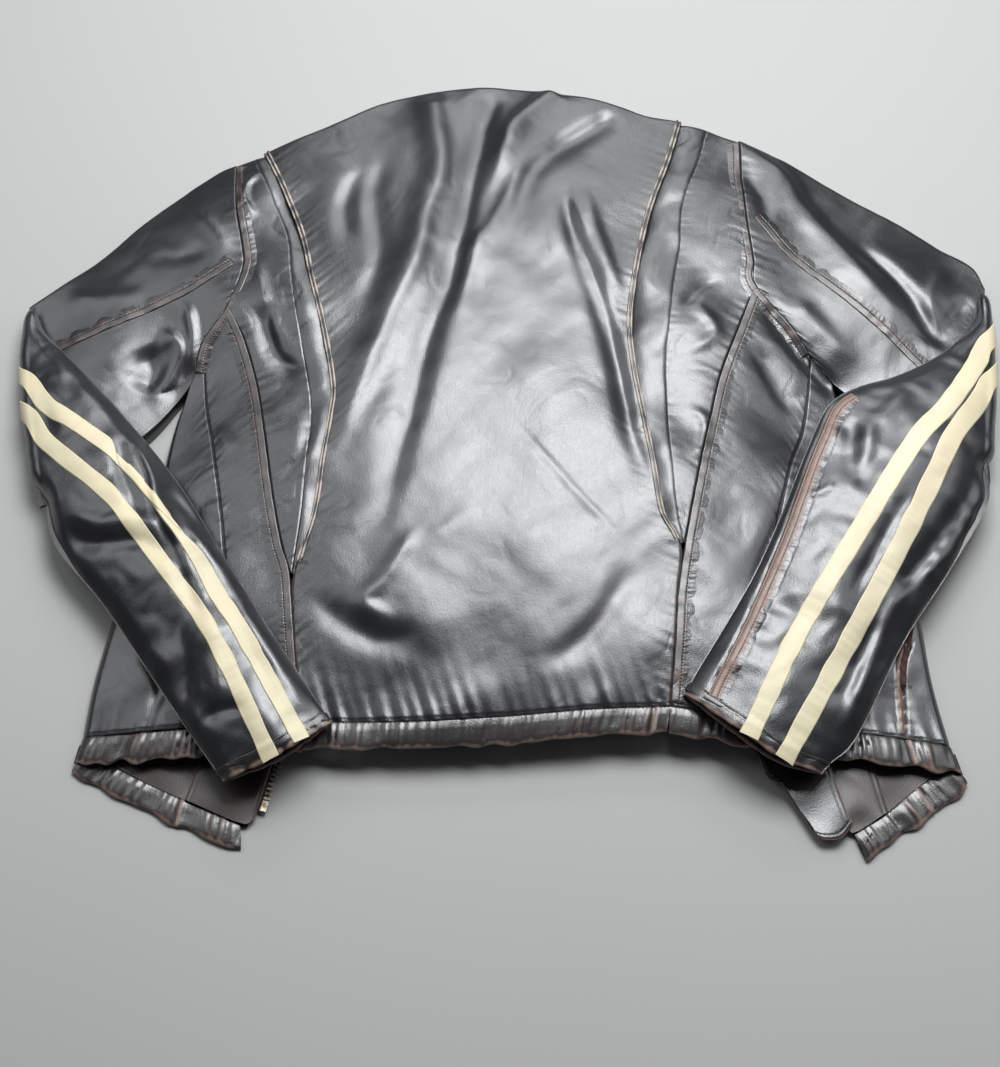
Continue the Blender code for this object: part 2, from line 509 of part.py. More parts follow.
def build_collar():
    """The stand collar, turned under the neck as a horseshoe from one zip head to the other."""
    seam = Curve([(-0.055, 0.284), (-0.076, 0.330), (-0.072, 0.362), (-0.030, 0.377), (0.020, 0.379),
                  (0.070, 0.374), (0.106, 0.352), (0.117, 0.320), (0.112, 0.284)])
    free = Curve([(-0.012, 0.284), (-0.026, 0.318), (-0.018, 0.330), (0.000, 0.336), (0.020, 0.338),
                  (0.044, 0.336), (0.066, 0.328), (0.076, 0.316), (0.070, 0.284)])
    low, wall = 0.0100, 0.0022

    def surface(u, v):
        top, bottom = seam.at(u), free.at(u)
        middle = math.sin(math.pi * u) ** 2
        lift = middle * 0.016
        x, y = top + (bottom - top) * v
        swell = math.sin(math.pi * min(v * 2, 1)) * 0.004 * middle
        return x, y + swell - middle * 0.004, low + lift * (1 - v) ** 2

    bm, mesh = grid_mesh("collar", surface, 18, 4)
    thicken(bm, -wall)
    bm.to_mesh(mesh)
    bm.free()
    add_object("collar", mesh, "leather_black")


def build_hem():
    """Bands round the hem: the back band, two gathered side bands with elastic, and two front bands."""
    for name, stitch, edge, across in (("hem_band_back", HEM_STITCH_BACK, HEM_EDGE_BACK, 10),
                                       ("hem_band_side_left", HEM_STITCH_SIDE_LEFT, HEM_EDGE_SIDE_LEFT, 8),
                                       ("hem_band_side_right", HEM_STITCH_SIDE_RIGHT, HEM_EDGE_SIDE_RIGHT, 9)):
        panel(name, stitch, edge, back_face, -BAND_THICK, "leather_black", across=2, along=across)
    for side, stitch, edge in (("left", HEM_STITCH_FRONT_LEFT, HEM_EDGE_FRONT_LEFT),
                               ("right", HEM_STITCH_FRONT_RIGHT, HEM_EDGE_FRONT_RIGHT)):
        panel(f"hem_band_front_{side}", stitch, edge, lambda x, y: 0.0, BAND_THICK, "leather_black",
              across=2, along=6)
    for side, stitch, edge in (("left", HEM_STITCH_SIDE_LEFT, HEM_EDGE_SIDE_LEFT),
                               ("right", HEM_STITCH_SIDE_RIGHT, HEM_EDGE_SIDE_RIGHT)):
        low = lowered(back_face, BAND_THICK + TOUCH_GAP)
        upper = [(0.8 * a + 0.2 * c, 0.8 * b + 0.2 * d) for (a, b), (c, d) in zip(stitch, edge)]
        lower = [(0.2 * a + 0.8 * c, 0.2 * b + 0.8 * d) for (a, b), (c, d) in zip(stitch, edge)]
        panel(f"hem_elastic_{side}", upper, lower, low, -ELASTIC_THICK, "tape_black", across=1, along=7,
              gap=0.012)


def build_upper_sleeves():
    """Upper arms: a back layer on top and a front layer on the floor, closed at two folds."""
    for side, armhole, top, low, crease, turn in (
            ("left", ARMHOLE_LEFT + UNDERARM_LEFT[1:], ARM_TOP_LEFT, ARM_LOW_LEFT, CREASE_LEFT, 1),
            ("right", ARMHOLE_RIGHT + UNDERARM_RIGHT[1:], ARM_TOP_RIGHT, ARM_LOW_RIGHT, CREASE_RIGHT, -1)):
        cap = [(x - 0.0030 * turn, y) for x, y in armhole]
        panel(f"upper_sleeve_back_{side}", top, low, back_face, -LEATHER, "leather_black",
              across=8, along=9, head=[top[0]] + cap[1:-1] + [low[0]], foot=crease)
        folds = [(curve, FLOOR_FOLD, SIDE_CURL) for curve in (top, low, crease)]
        panel(f"upper_sleeve_front_{side}", top, low, floor_face(folds), LEATHER, "leather_black",
              across=8, along=9, head=[top[0]] + cap[1:-1] + [low[0]], foot=crease)


def build_cuff(side, line, toward, pivot):
    """The turned hem of a sleeve's end, a flattened ring round both layers."""
    over, under = FOREARM_TOP[side], FOREARM_UNDER[side]
    curve = Curve(line)
    around, edge_round = 28, 0.06

    def surface(u, v):
        angle = 2 * math.pi * u
        across = 0.5 - 0.5 * math.cos(angle)
        share = edge_round * 0.5 + across * (1 - edge_round)
        x, y = curve.at(share) + toward * (TOUCH_GAP + v * CUFF_DEPTH)
        high, low = over(x, y), under(x, y)
        middle, half = 0.5 * (high + low), 0.5 * (high - low)
        return x, y, middle + half * math.copysign(abs(math.sin(angle)) ** 0.5, math.sin(angle))

    bm = bmesh.new()
    rings = [[bm.verts.new(surface(step / around, row / 2)) for step in range(around)] for row in range(3)]
    for first, second in zip(rings, rings[1:]):
        for step in range(around):
            after = (step + 1) % around
            bm.faces.new([first[step], first[after], second[after], second[step]])
    bmesh.ops.recalc_face_normals(bm, faces=bm.faces)
    centre = sum((v.co for v in bm.verts), Vector()) / len(bm.verts)
    if sum((f.calc_center_median() - centre).dot(f.normal) for f in bm.faces) < 0:
        bmesh.ops.reverse_faces(bm, faces=bm.faces)
    mesh = bpy.data.meshes.new(f"cuff_hem_{side}")
    bm.to_mesh(mesh)
    bm.free()
    ring = add_object(f"cuff_hem_{side}", mesh, "leather_black", pivot)
    wall = ring.modifiers.new("wall", "SOLIDIFY")
    wall.thickness = LEATHER
    wall.offset = -1


def build_forearms():
    """Forearms folded over the back: each is two layers, a turned cuff and two stripes."""
    for side, inner, outer, crease, line, stripes, axis in (
            ("left", FOREARM_INNER_LEFT, FOREARM_OUTER_LEFT, FOREARM_CREASE_LEFT, CUFF_LINE_LEFT,
             (STRIPE_INNER_LEFT, STRIPE_OUTER_LEFT), ELBOW_AXIS_LEFT),
            ("right", FOREARM_INNER_RIGHT, FOREARM_OUTER_RIGHT, FOREARM_CREASE_RIGHT, CUFF_LINE_RIGHT,
             (STRIPE_INNER_RIGHT, STRIPE_OUTER_RIGHT), ELBOW_AXIS_RIGHT)):
        pivot = add_pivot(f"elbow_pivot_{side}", axis[0])
        over, under = FOREARM_TOP[side], FOREARM_UNDER[side]
        panel(f"forearm_outer_{side}", inner, outer, over, -LEATHER, "leather_black", across=8, along=12,
              head=crease, foot=line, parent=pivot)
        panel(f"forearm_inner_{side}", inner, outer, under, LEATHER, "leather_black", across=8, along=12,
              head=crease, foot=line, parent=pivot)
        start, stop = Curve(inner), Curve(outer)
        toward = (start.at(1) - start.at(0.9)) + (stop.at(1) - stop.at(0.9))
        build_cuff(side, line, toward / np.linalg.norm(toward), pivot)
        for place, route in zip(("inner", "outer"), stripes):
            strip(f"stripe_{place}_{side}", route, STRIPE_WIDTH, lowered(over, -STRIPE_LIFT), STRIPE_THICK,
                  "stripe_cream", along=18, parent=pivot)


def build_zip():
    """Tapes, chains, stops, the box and pin at the foot, and the slider with its pull."""
    sides = (("left", LEFT_ZIP_FOOT, LEFT_ZIP_HEAD, 1), ("right", RIGHT_ZIP_FOOT, RIGHT_ZIP_HEAD, -1))
    half, low, high = 0.5 * CHAIN_WIDTH, CHAIN_Z - 0.5 * CHAIN_THICK, CHAIN_Z + 0.5 * CHAIN_THICK
    for side, foot, head, turn in sides:
        along = (head - foot).normalized()
        length = (head - foot).length - 0.012
        start = foot + along * (BOX_LENGTH + TOUCH_GAP)
        near, far = -turn * (half + SEAM_GAP), -turn * (half + TAPE_WIDTH)
        prism(f"zip_tape_{side}", bar_profile(min(near, far), max(near, far), CHAIN_Z - 0.5 * TAPE,
              CHAIN_Z + 0.5 * TAPE), foot, along, length + BOX_LENGTH, "tape_black")
        prism(f"zip_chain_{side}", bar_profile(-half, half, low, high), start, along, length - 0.006, "zip_metal")
        stop = foot + along * (length + 0.0042)
        prism(f"zip_top_stop_{side}", bar_profile(-half, half, low, high), stop, along, 0.004, "zip_metal")
    right = (RIGHT_ZIP_HEAD - RIGHT_ZIP_FOOT).normalized()
    left = (LEFT_ZIP_HEAD - LEFT_ZIP_FOOT).normalized()
    prism("zip_box", bar_profile(-0.0090, half, low - 0.0004, high + 0.0004), RIGHT_ZIP_FOOT, right,
          BOX_LENGTH, "zip_metal")
    prism("zip_pin", bar_profile(-half, half, low, high), LEFT_ZIP_FOOT, left, BOX_LENGTH, "zip_metal")
    underlap = [beside_chain(RIGHT_ZIP_FOOT, RIGHT_ZIP_HEAD, share, -0.018) for share in (0.99, 0.5, -0.004)]
    strip("zip_underlap", underlap, 0.046, lambda x, y: CHAIN_Z + 0.0044, LEATHER, "leather_black",
          along=14, across=3)
    build_slider(RIGHT_ZIP_FOOT + right * (BOX_LENGTH + 0.0012), right)


def build_slider(start, along):
    """A slider of two plates on a wedge, and a pull that flips on the lug under it."""
    plate, room, post_near, post_far = 0.0010, 0.0006, -0.0032, -0.0046
    low, high = CHAIN_Z - 0.5 * CHAIN_THICK - room, CHAIN_Z + 0.5 * CHAIN_THICK + room
    left, right = -0.0096, 0.0030
    lug_mid, lug_low = -0.0032, 0.0004
    profile = [(left, low - plate), (lug_mid - 0.5 * LUG_WIDTH, low - plate), (lug_mid - 0.5 * LUG_WIDTH, lug_low),
               (lug_mid + 0.5 * LUG_WIDTH, lug_low), (lug_mid + 0.5 * LUG_WIDTH, low - plate), (right, low - plate),
               (right, low), (post_near, low), (post_near, high), (right, high), (right, high + plate),
               (left, high + plate), (left, high), (post_far, high), (post_far, low), (left, low)]
    pivot = add_pivot("slider_pivot", start)
    slider = prism("zip_slider", profile, start, along, SLIDER_LENGTH, "zip_metal", pivot)
    beside = Vector((along.y, -along.x, 0))
    hinge = start + along * 0.004 + beside * lug_mid
    hinge.z = lug_low + 0.5 * PULL_THICK
    pull_pivot = add_pivot("pull_pivot", hinge)
    pull_pivot.parent = pivot
    pull_pivot.matrix_parent_inverse = pivot.matrix_world.inverted()
    bpy.context.view_layer.update()
    ear, slot = 0.5 * PULL_WIDTH, 0.5 * LUG_WIDTH + TOUCH_GAP
    outline = [(-ear, EAR_END), (-slot, EAR_END), (-slot, -0.0130), (slot, -0.0130), (slot, EAR_END), (ear, EAR_END),
               (ear, -0.0160), (0.6 * ear, -PULL_LENGTH), (-0.6 * ear, -PULL_LENGTH), (-ear, -0.0160)]
    bm = bmesh.new()
    ring = [bm.verts.new(hinge + beside * x + along * y - Vector((0, 0, 0.5 * PULL_THICK))) for x, y in outline]
    made = bmesh.ops.extrude_face_region(bm, geom=[bm.faces.new(ring)])
    moved = [item for item in made["geom"] if isinstance(item, bmesh.types.BMVert)]
    bmesh.ops.translate(bm, vec=(0, 0, PULL_THICK), verts=moved)
    bmesh.ops.recalc_face_normals(bm, faces=bm.faces)
    mesh = bpy.data.meshes.new("zip_pull")
    bm.to_mesh(mesh)
    bm.free()
    add_object("zip_pull", mesh, "zip_metal", pull_pivot)
    return slider


build_back()
build_sides()
build_fronts()
build_pockets()
build_linings()
build_collar()
build_hem()
build_upper_sleeves()
build_forearms()
build_zip()
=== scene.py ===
"""Looks of a black leather riding jacket laid face down, forearms folded over its back.

Metres, +Z up off the surface that it lies on, +Y towards the collar, +X towards the wearer's
right. Plan curves repeat the seams of the CAD model; folds are given in millimetres.
"""

import logging
import math
import zlib
from dataclasses import dataclass, field
from enum import Enum
from typing import Any, Callable, Sequence

import bpy
import numpy as np
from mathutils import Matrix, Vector

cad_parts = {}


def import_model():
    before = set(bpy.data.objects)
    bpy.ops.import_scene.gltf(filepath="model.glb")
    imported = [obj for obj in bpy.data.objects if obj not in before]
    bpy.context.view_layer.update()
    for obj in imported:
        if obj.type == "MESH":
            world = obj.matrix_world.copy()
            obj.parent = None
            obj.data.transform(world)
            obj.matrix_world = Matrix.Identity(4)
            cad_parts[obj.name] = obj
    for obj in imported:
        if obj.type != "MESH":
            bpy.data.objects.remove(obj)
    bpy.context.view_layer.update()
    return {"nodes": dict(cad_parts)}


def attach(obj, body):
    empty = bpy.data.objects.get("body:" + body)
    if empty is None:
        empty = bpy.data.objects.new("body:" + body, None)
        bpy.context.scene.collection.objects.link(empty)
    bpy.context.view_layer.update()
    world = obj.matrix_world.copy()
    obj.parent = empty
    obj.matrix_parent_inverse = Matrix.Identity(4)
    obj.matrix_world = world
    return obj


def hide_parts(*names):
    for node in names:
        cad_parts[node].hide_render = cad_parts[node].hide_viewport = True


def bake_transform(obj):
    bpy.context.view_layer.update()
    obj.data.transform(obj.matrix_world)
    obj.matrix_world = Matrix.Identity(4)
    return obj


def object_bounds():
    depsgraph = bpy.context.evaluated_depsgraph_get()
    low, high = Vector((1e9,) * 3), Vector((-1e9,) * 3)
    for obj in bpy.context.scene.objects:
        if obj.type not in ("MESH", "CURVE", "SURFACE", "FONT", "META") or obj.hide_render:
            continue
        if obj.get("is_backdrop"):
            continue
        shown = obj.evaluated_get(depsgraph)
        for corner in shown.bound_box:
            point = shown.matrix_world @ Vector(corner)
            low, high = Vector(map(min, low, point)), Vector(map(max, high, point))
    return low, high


LOG = logging.getLogger("jacket")
MM = 0.001
Array = np.ndarray
Plan = Sequence[tuple[float, float]]
Height = Callable[[Array, Array], Array]

# Seams in plan, from the collar towards the hem
NECK_AND_SHOULDERS = [(-0.242, 0.322), (-0.204, 0.342), (-0.166, 0.362), (-0.126, 0.385), (-0.087, 0.395),
                      (-0.047, 0.400), (-0.007, 0.401), (0.033, 0.397), (0.073, 0.389), (0.113, 0.378),
                      (0.141, 0.366), (0.175, 0.360)]
PLEAT_EDGE_LEFT = [(-0.242, 0.322), (-0.216, 0.262), (-0.197, 0.210), (-0.185, 0.158), (-0.171, 0.102),
                   (-0.160, 0.042), (-0.161, 0.010), (-0.166, -0.035), (-0.171, -0.086), (-0.181, -0.141)]
PLEAT_EDGE_RIGHT = [(0.175, 0.360), (0.158, 0.298), (0.137, 0.234), (0.123, 0.169), (0.115, 0.113),
                    (0.116, 0.069), (0.123, 0.016), (0.130, -0.036), (0.136, -0.086), (0.146, -0.115)]
GUSSET_SEAM_LEFT = [(-0.251, 0.315), (-0.226, 0.256), (-0.209, 0.210), (-0.202, 0.160), (-0.188, 0.082),
                    (-0.177, 0.020), (-0.179, -0.040), (-0.181, -0.086), (-0.186, -0.141)]
GUSSET_SEAM_RIGHT = [(0.200, 0.352), (0.186, 0.300), (0.168, 0.248), (0.162, 0.195), (0.153, 0.142),
                     (0.144, 0.076), (0.143, 0.022), (0.144, -0.035), (0.146, -0.080), (0.151, -0.115)]
ARMHOLE_LEFT = [(-0.266, 0.310), (-0.261, 0.250), (-0.252, 0.205), (-0.249, 0.176), (-0.261, 0.134)]
ARMHOLE_RIGHT = [(0.229, 0.339), (0.228, 0.273), (0.229, 0.226), (0.232, 0.184), (0.232, 0.156)]
UNDERARM_LEFT = [(-0.261, 0.134), (-0.283, 0.100), (-0.290, 0.068), (-0.297, 0.052)]
UNDERARM_RIGHT = [(0.232, 0.156), (0.262, 0.116), (0.281, 0.085), (0.304, 0.056)]
PRINCESS_LEFT = [(-0.261, 0.134), (-0.244, 0.098), (-0.229, 0.049), (-0.219, 0.000), (-0.210, -0.051),
                 (-0.203, -0.086), (-0.196, -0.116), (-0.188, -0.141)]
PRINCESS_RIGHT = [(0.232, 0.156), (0.214, 0.108), (0.194, 0.056), (0.181, 0.006), (0.171, -0.034),
                  (0.163, -0.069), (0.153, -0.115)]
LOWER_SEAM_LEFT = [(-0.184, -0.143), (-0.182, -0.190), (-0.177, -0.235), (-0.173, -0.274)]
LOWER_SEAM_RIGHT = [(0.149, -0.117), (0.145, -0.160), (0.140, -0.210), (0.134, -0.262)]
SIDE_SEAM_LEFT = [(-0.283, 0.100), (-0.277, 0.040), (-0.266, -0.010), (-0.252, -0.080), (-0.243, -0.150),
                  (-0.239, -0.215), (-0.238, -0.276)]
SIDE_SEAM_RIGHT = [(0.281, 0.085), (0.276, 0.049), (0.267, 0.006), (0.250, -0.038), (0.230, -0.120),
                   (0.219, -0.205), (0.216, -0.272)]
OUTLINE_LEFT = [(-0.297, 0.052), (-0.307, 0.010), (-0.314, -0.040), (-0.326, -0.100), (-0.341, -0.165),
                (-0.352, -0.230), (-0.356, -0.282)]
OUTLINE_RIGHT = [(0.304, 0.056), (0.314, 0.008), (0.325, -0.060), (0.341, -0.122), (0.356, -0.170),
                 (0.360, -0.230), (0.369, -0.290)]

# Hem, from the wearer's left to right
HEM_STITCH_BACK = [(-0.173, -0.274), (-0.075, -0.275), (-0.003, -0.271), (0.070, -0.265), (0.134, -0.262)]
HEM_EDGE_BACK = [(-0.170, -0.297), (-0.087, -0.297), (-0.003, -0.294), (0.069, -0.287), (0.130, -0.284)]
HEM_STITCH_SIDE_LEFT = [(-0.356, -0.282), (-0.311, -0.281), (-0.238, -0.277), (-0.173, -0.274)]
HEM_EDGE_SIDE_LEFT = [(-0.360, -0.305), (-0.311, -0.305), (-0.238, -0.301), (-0.170, -0.297)]
HEM_STITCH_SIDE_RIGHT = [(0.134, -0.262), (0.216, -0.272), (0.279, -0.280), (0.369, -0.290)]
HEM_EDGE_SIDE_RIGHT = [(0.132, -0.284), (0.203, -0.295), (0.291, -0.306), (0.375, -0.314)]
HEM_STITCH_FRONT_LEFT = [(-0.350, -0.290), (-0.335, -0.300), (-0.299, -0.319), (-0.266, -0.334),
                         (-0.219, -0.354)]
HEM_EDGE_FRONT_LEFT = [(-0.362, -0.309), (-0.342, -0.322), (-0.309, -0.337), (-0.270, -0.356),
                       (-0.217, -0.377)]
HEM_STITCH_FRONT_RIGHT = [(0.368, -0.302), (0.355, -0.311), (0.332, -0.327), (0.311, -0.344), (0.281, -0.362)]
HEM_EDGE_FRONT_RIGHT = [(0.379, -0.319), (0.367, -0.334), (0.343, -0.349), (0.317, -0.366), (0.289, -0.384)]

# Fronts: shoulder line, neckline and zip
SHOULDER_LEFT = [(-0.266, 0.308), (-0.239, 0.316), (-0.184, 0.344), (-0.126, 0.372), (-0.090, 0.380)]
SHOULDER_RIGHT = [(0.229, 0.336), (0.205, 0.346), (0.175, 0.354), (0.141, 0.360), (0.118, 0.367)]
NECKLINE_LEFT = [(-0.090, 0.368), (-0.078, 0.335), (-0.058, 0.292)]
NECKLINE_RIGHT = [(0.118, 0.356), (0.126, 0.330), (0.121, 0.292)]
CHAIN_Z = 0.0052
RIGHT_ZIP = ((0.2700, -0.3480), (0.1150, 0.2720))
LEFT_ZIP = ((-0.2010, -0.3440), (-0.0465, 0.2740))

# Sleeves
ARM_TOP_LEFT = [(-0.266, 0.311), (-0.286, 0.302), (-0.322, 0.273), (-0.358, 0.239), (-0.393, 0.202),
                (-0.428, 0.170), (-0.456, 0.150)]
ARM_LOW_LEFT = [(-0.299, 0.050), (-0.322, 0.014), (-0.350, -0.016), (-0.385, -0.044), (-0.421, -0.060)]
ARM_TOP_RIGHT = [(0.229, 0.341), (0.271, 0.319), (0.309, 0.293), (0.346, 0.266), (0.382, 0.242),
                 (0.418, 0.217), (0.446, 0.196), (0.458, 0.172)]
ARM_LOW_RIGHT = [(0.306, 0.056), (0.335, 0.024), (0.368, -0.005), (0.402, -0.022), (0.434, -0.032)]
CREASE_LEFT = [(-0.456, 0.150), (-0.456, 0.095), (-0.449, 0.050), (-0.435, -0.008), (-0.421, -0.060)]
CREASE_RIGHT = [(0.458, 0.172), (0.457, 0.110), (0.451, 0.056), (0.443, 0.010), (0.434, -0.032)]
FOREARM_INNER_LEFT = [(-0.456, 0.141), (-0.434, 0.115), (-0.414, 0.091), (-0.355, 0.026), (-0.291, -0.054),
                      (-0.227, -0.155), (-0.152, -0.268)]
FOREARM_OUTER_LEFT = [(-0.423, -0.056), (-0.394, -0.112), (-0.344, -0.172), (-0.290, -0.247),
                      (-0.238, -0.318)]
FOREARM_CREASE_LEFT = [(-0.456, 0.141), (-0.454, 0.090), (-0.448, 0.050), (-0.435, -0.008), (-0.423, -0.056)]
CUFF_LINE_LEFT = [(-0.152, -0.268), (-0.168, -0.282), (-0.196, -0.302), (-0.238, -0.318)]
FOREARM_INNER_RIGHT = [(0.458, 0.158), (0.439, 0.124), (0.414, 0.096), (0.388, 0.076), (0.352, 0.057),
                       (0.318, 0.045), (0.292, 0.027), (0.273, -0.006), (0.215, -0.136),
                       (0.151, -0.243)]
FOREARM_OUTER_RIGHT = [(0.436, -0.030), (0.423, -0.070), (0.379, -0.140), (0.334, -0.204), (0.285, -0.290),
                       (0.262, -0.312)]
FOREARM_CREASE_RIGHT = [(0.458, 0.158), (0.456, 0.110), (0.450, 0.056), (0.443, 0.014), (0.436, -0.030)]
CUFF_LINE_RIGHT = [(0.151, -0.243), (0.190, -0.276), (0.226, -0.302), (0.262, -0.312)]
STRIPE_INNER_LEFT = [(-0.437, 0.052), (-0.415, 0.022), (-0.384, -0.001), (-0.350, -0.027), (-0.321, -0.056),
                     (-0.292, -0.094), (-0.266, -0.130), (-0.247, -0.165), (-0.224, -0.200), (-0.182, -0.272)]
STRIPE_OUTER_LEFT = [(-0.430, 0.012), (-0.412, -0.014), (-0.380, -0.044), (-0.346, -0.074), (-0.317, -0.110),
                     (-0.289, -0.147), (-0.259, -0.186), (-0.232, -0.232), (-0.206, -0.284)]
STRIPE_INNER_RIGHT = [(0.441, 0.092), (0.428, 0.068), (0.395, 0.020), (0.359, -0.021), (0.301, -0.110),
                      (0.242, -0.203), (0.206, -0.272)]
STRIPE_OUTER_RIGHT = [(0.437, 0.048), (0.424, 0.026), (0.395, -0.013), (0.372, -0.056), (0.334, -0.125),
                      (0.283, -0.212), (0.236, -0.290)]

# Heights of the layers' outer faces over the plan, in millimetres (x, y, z)
BACK_POSTS = [
    (13, 398, 42), (13, 350, 48), (13, 250, 50), (13, 100, 50), (15, -50, 49), (15, -180, 44),
    (15, -260, 34), (0, -295, 28), (-77, 396, 41), (113, 377, 41), (-163, 363, 39), (-241, 321, 36),
    (175, 360, 39), (228, 339, 34), (-120, 250, 48), (140, 250, 48), (-205, 220, 43), (190, 220, 44),
    (-150, 100, 47), (150, 100, 47), (-230, 110, 38), (225, 110, 39), (-262, 200, 40), (235, 210, 41),
    (-155, -50, 43), (155, -50, 44), (-240, -20, 31), (235, -20, 32), (-165, -180, 37), (160, -180, 38),
    (-250, -150, 27), (245, -150, 28), (-170, -285, 26), (180, -285, 26), (-297, 55, 16), (-310, -20, 14),
    (-335, -140, 13), (-352, -230, 13), (-358, -300, 12), (306, 55, 17), (322, -50, 16), (345, -140, 15),
    (360, -230, 14), (372, -308, 13), (-300, -200, 21), (300, -200, 22), (-300, -292, 19), (300, -296, 20),
    (-285, -60, 22), (285, -60, 23), (-300, 250, 34), (-330, 180, 35), (-300, 130, 32), (-380, 120, 28),
    (-360, 60, 23), (-335, 35, 18), (-420, 100, 21), (-430, 50, 19), (-400, 5, 19), (-425, -35, 17),
    (-286, 301, 29), (-322, 272, 25), (-375, 220, 23), (-428, 169, 22), (-455, 148, 21), (-322, 14, 13),
    (-350, -16, 12), (-385, -44, 12), (-421, -60, 12), (-455, 90, 15), (-441, 10, 15), (300, 235, 34),
    (340, 180, 34), (300, 130, 33), (390, 140, 28), (350, 80, 24), (420, 110, 22), (435, 60, 19),
    (395, 20, 19), (425, -5, 17), (290, 307, 29), (346, 265, 25), (418, 216, 23), (446, 195, 22),
    (457, 172, 21), (335, 24, 13), (368, -5, 12), (402, -22, 12), (434, -32, 12), (457, 110, 15),
    (447, 30, 15)]
FOREARM_TOP_POSTS = {
    "left": [(-453, 121, 30), (-454, 90, 30), (-448, 50, 30), (-435, -8, 30), (-423, -56, 30),
             (-413, 83, 34), (-352, 19, 38), (-291, -58, 41), (-227, -155, 42), (-152, -268, 41),
             (-394, -112, 34), (-344, -172, 34), (-290, -247, 35), (-238, -318, 37), (-425, 35, 43),
             (-390, -20, 50), (-340, -75, 54), (-285, -135, 55), (-240, -200, 54), (-196, -285, 53)],
    "right": [(455, 146, 30), (456, 110, 30), (450, 56, 30), (443, 14, 30), (436, -30, 30), (422, 108, 34),
              (389, 74, 37), (318, 41, 41), (273, -7, 43), (215, -136, 43), (151, -243, 41), (423, -70, 34),
              (379, -140, 35), (334, -204, 35), (285, -290, 37), (262, -312, 37), (425, 35, 44),
              (380, -20, 53), (330, -80, 57), (280, -160, 57), (230, -235, 54), (210, -275, 53)]}
FOREARM_UNDER_POSTS = {
    "left": [(-453, 121, 24.8), (-454, 90, 24.8), (-448, 50, 24.8), (-435, -8, 24.8), (-423, -56, 24.8),
             (-413, 83, 28), (-352, 19, 32), (-291, -58, 35), (-227, -155, 37), (-152, -268, 36),
             (-394, -112, 29), (-344, -172, 29), (-290, -247, 30), (-238, -318, 32), (-390, -20, 26),
             (-340, -75, 29), (-285, -135, 33), (-240, -200, 34), (-196, -285, 34)],
    "right": [(455, 146, 24.8), (456, 110, 24.8), (450, 56, 24.8), (443, 14, 24.8), (436, -30, 24.8),
              (422, 108, 28.5), (389, 74, 31), (318, 41, 35), (273, -7, 37), (215, -136, 38),
              (151, -243, 36), (423, -70, 29), (379, -140, 30), (334, -204, 30), (285, -290, 32),
              (262, -312, 32), (380, -20, 27), (330, -80, 30), (280, -160, 34), (230, -235, 35),
              (210, -275, 34)]}


class Side(Enum):
    """The wearer's two sides, with the sign that points outwards."""

    LEFT = "left"
    RIGHT = "right"

    @property
    def out(self) -> int:
        """+1 where outwards is +X."""
        return 1 if self is Side.RIGHT else -1


def smooth(share: Array) -> Array:
    """A soft step from 0 to 1."""
    share = np.clip(share, 0.0, 1.0)
    return share * share * (3 - 2 * share)


class Curve:
    """A smooth plan curve through given points, read by its share of length."""

    STEPS = 8

    def __init__(self, points: Plan) -> None:
        """Runs a Catmull-Rom curve through the points."""
        knots = np.array(points, float)
        ends = np.vstack([2 * knots[0] - knots[1], knots, 2 * knots[-1] - knots[-2]])
        fine = [knots[0]]
        for before, start, stop, after in zip(ends, ends[1:], ends[2:], ends[3:]):
            for step in range(1, self.STEPS + 1):
                t = step / self.STEPS
                fine.append(0.5 * (2 * start + (stop - before) * t
                                   + (2 * before - 5 * start + 4 * stop - after) * t * t
                                   + (3 * start - before - 3 * stop + after) * t ** 3))
        self.points = np.array(fine)
        lengths = np.linalg.norm(np.diff(self.points, axis=0), axis=1)
        self.total = float(lengths.sum())
        self.shares = np.concatenate([[0.0], np.cumsum(lengths)]) / self.total

    def at(self, share: Array) -> Array:
        """The plan points at shares of the length."""
        return np.stack([np.interp(share, self.shares, axis) for axis in self.points.T], axis=-1)

    def along(self, share: Array) -> Array:
        """The unit directions at shares of the length."""
        step = 0.01
        run = self.at(np.minimum(share + step, 1)) - self.at(np.maximum(share - step, 0))
        return run / np.linalg.norm(run, axis=-1, keepdims=True)

    def beside(self, share: Array, distance: Any) -> Array:
        """Points beside the curve, positive to the left of its direction."""
        run = self.along(share)
        across = np.stack([-run[..., 1], run[..., 0]], axis=-1)
        return self.at(share) + across * np.asarray(distance)[..., None]

    def near(self, x: Array, y: Array, reach: float) -> tuple[Array, Array, Array, Array]:
        """Finds how places lie to the curve.

        Args:
            x: Level positions.
            y: Level positions.
            reach: Places further than this are left out.

        Returns:
            A mask of the places near it, and for those the distance, positive to the left of the
            curve, the share of its length, and whether they lie beyond an end.
        """
        low, high = self.points.min(axis=0) - reach, self.points.max(axis=0) + reach
        mask = (x > low[0]) & (x < high[0]) & (y > low[1]) & (y < high[1])
        place = np.stack([x[mask], y[mask]], axis=-1)
        starts, runs = self.points[:-1], np.diff(self.points, axis=0)
        squares = (runs ** 2).sum(axis=1)
        best = np.full(len(place), 1e9)
        share, signed = np.zeros(len(place)), np.zeros(len(place))
        for index, (start, run, square) in enumerate(zip(starts, runs, squares)):
            offset = place - start
            along = np.clip(offset @ run / square, 0, 1)
            gap = offset - along[:, None] * run
            distance = np.hypot(gap[:, 0], gap[:, 1])
            closer = distance < best
            best = np.where(closer, distance, best)
            cross = run[0] * offset[:, 1] - run[1] * offset[:, 0]
            signed = np.where(closer, np.copysign(distance, cross), signed)
            length = self.shares[index] + along * (self.shares[index + 1] - self.shares[index])
            share = np.where(closer, length, share)
        return mask, signed, share, best


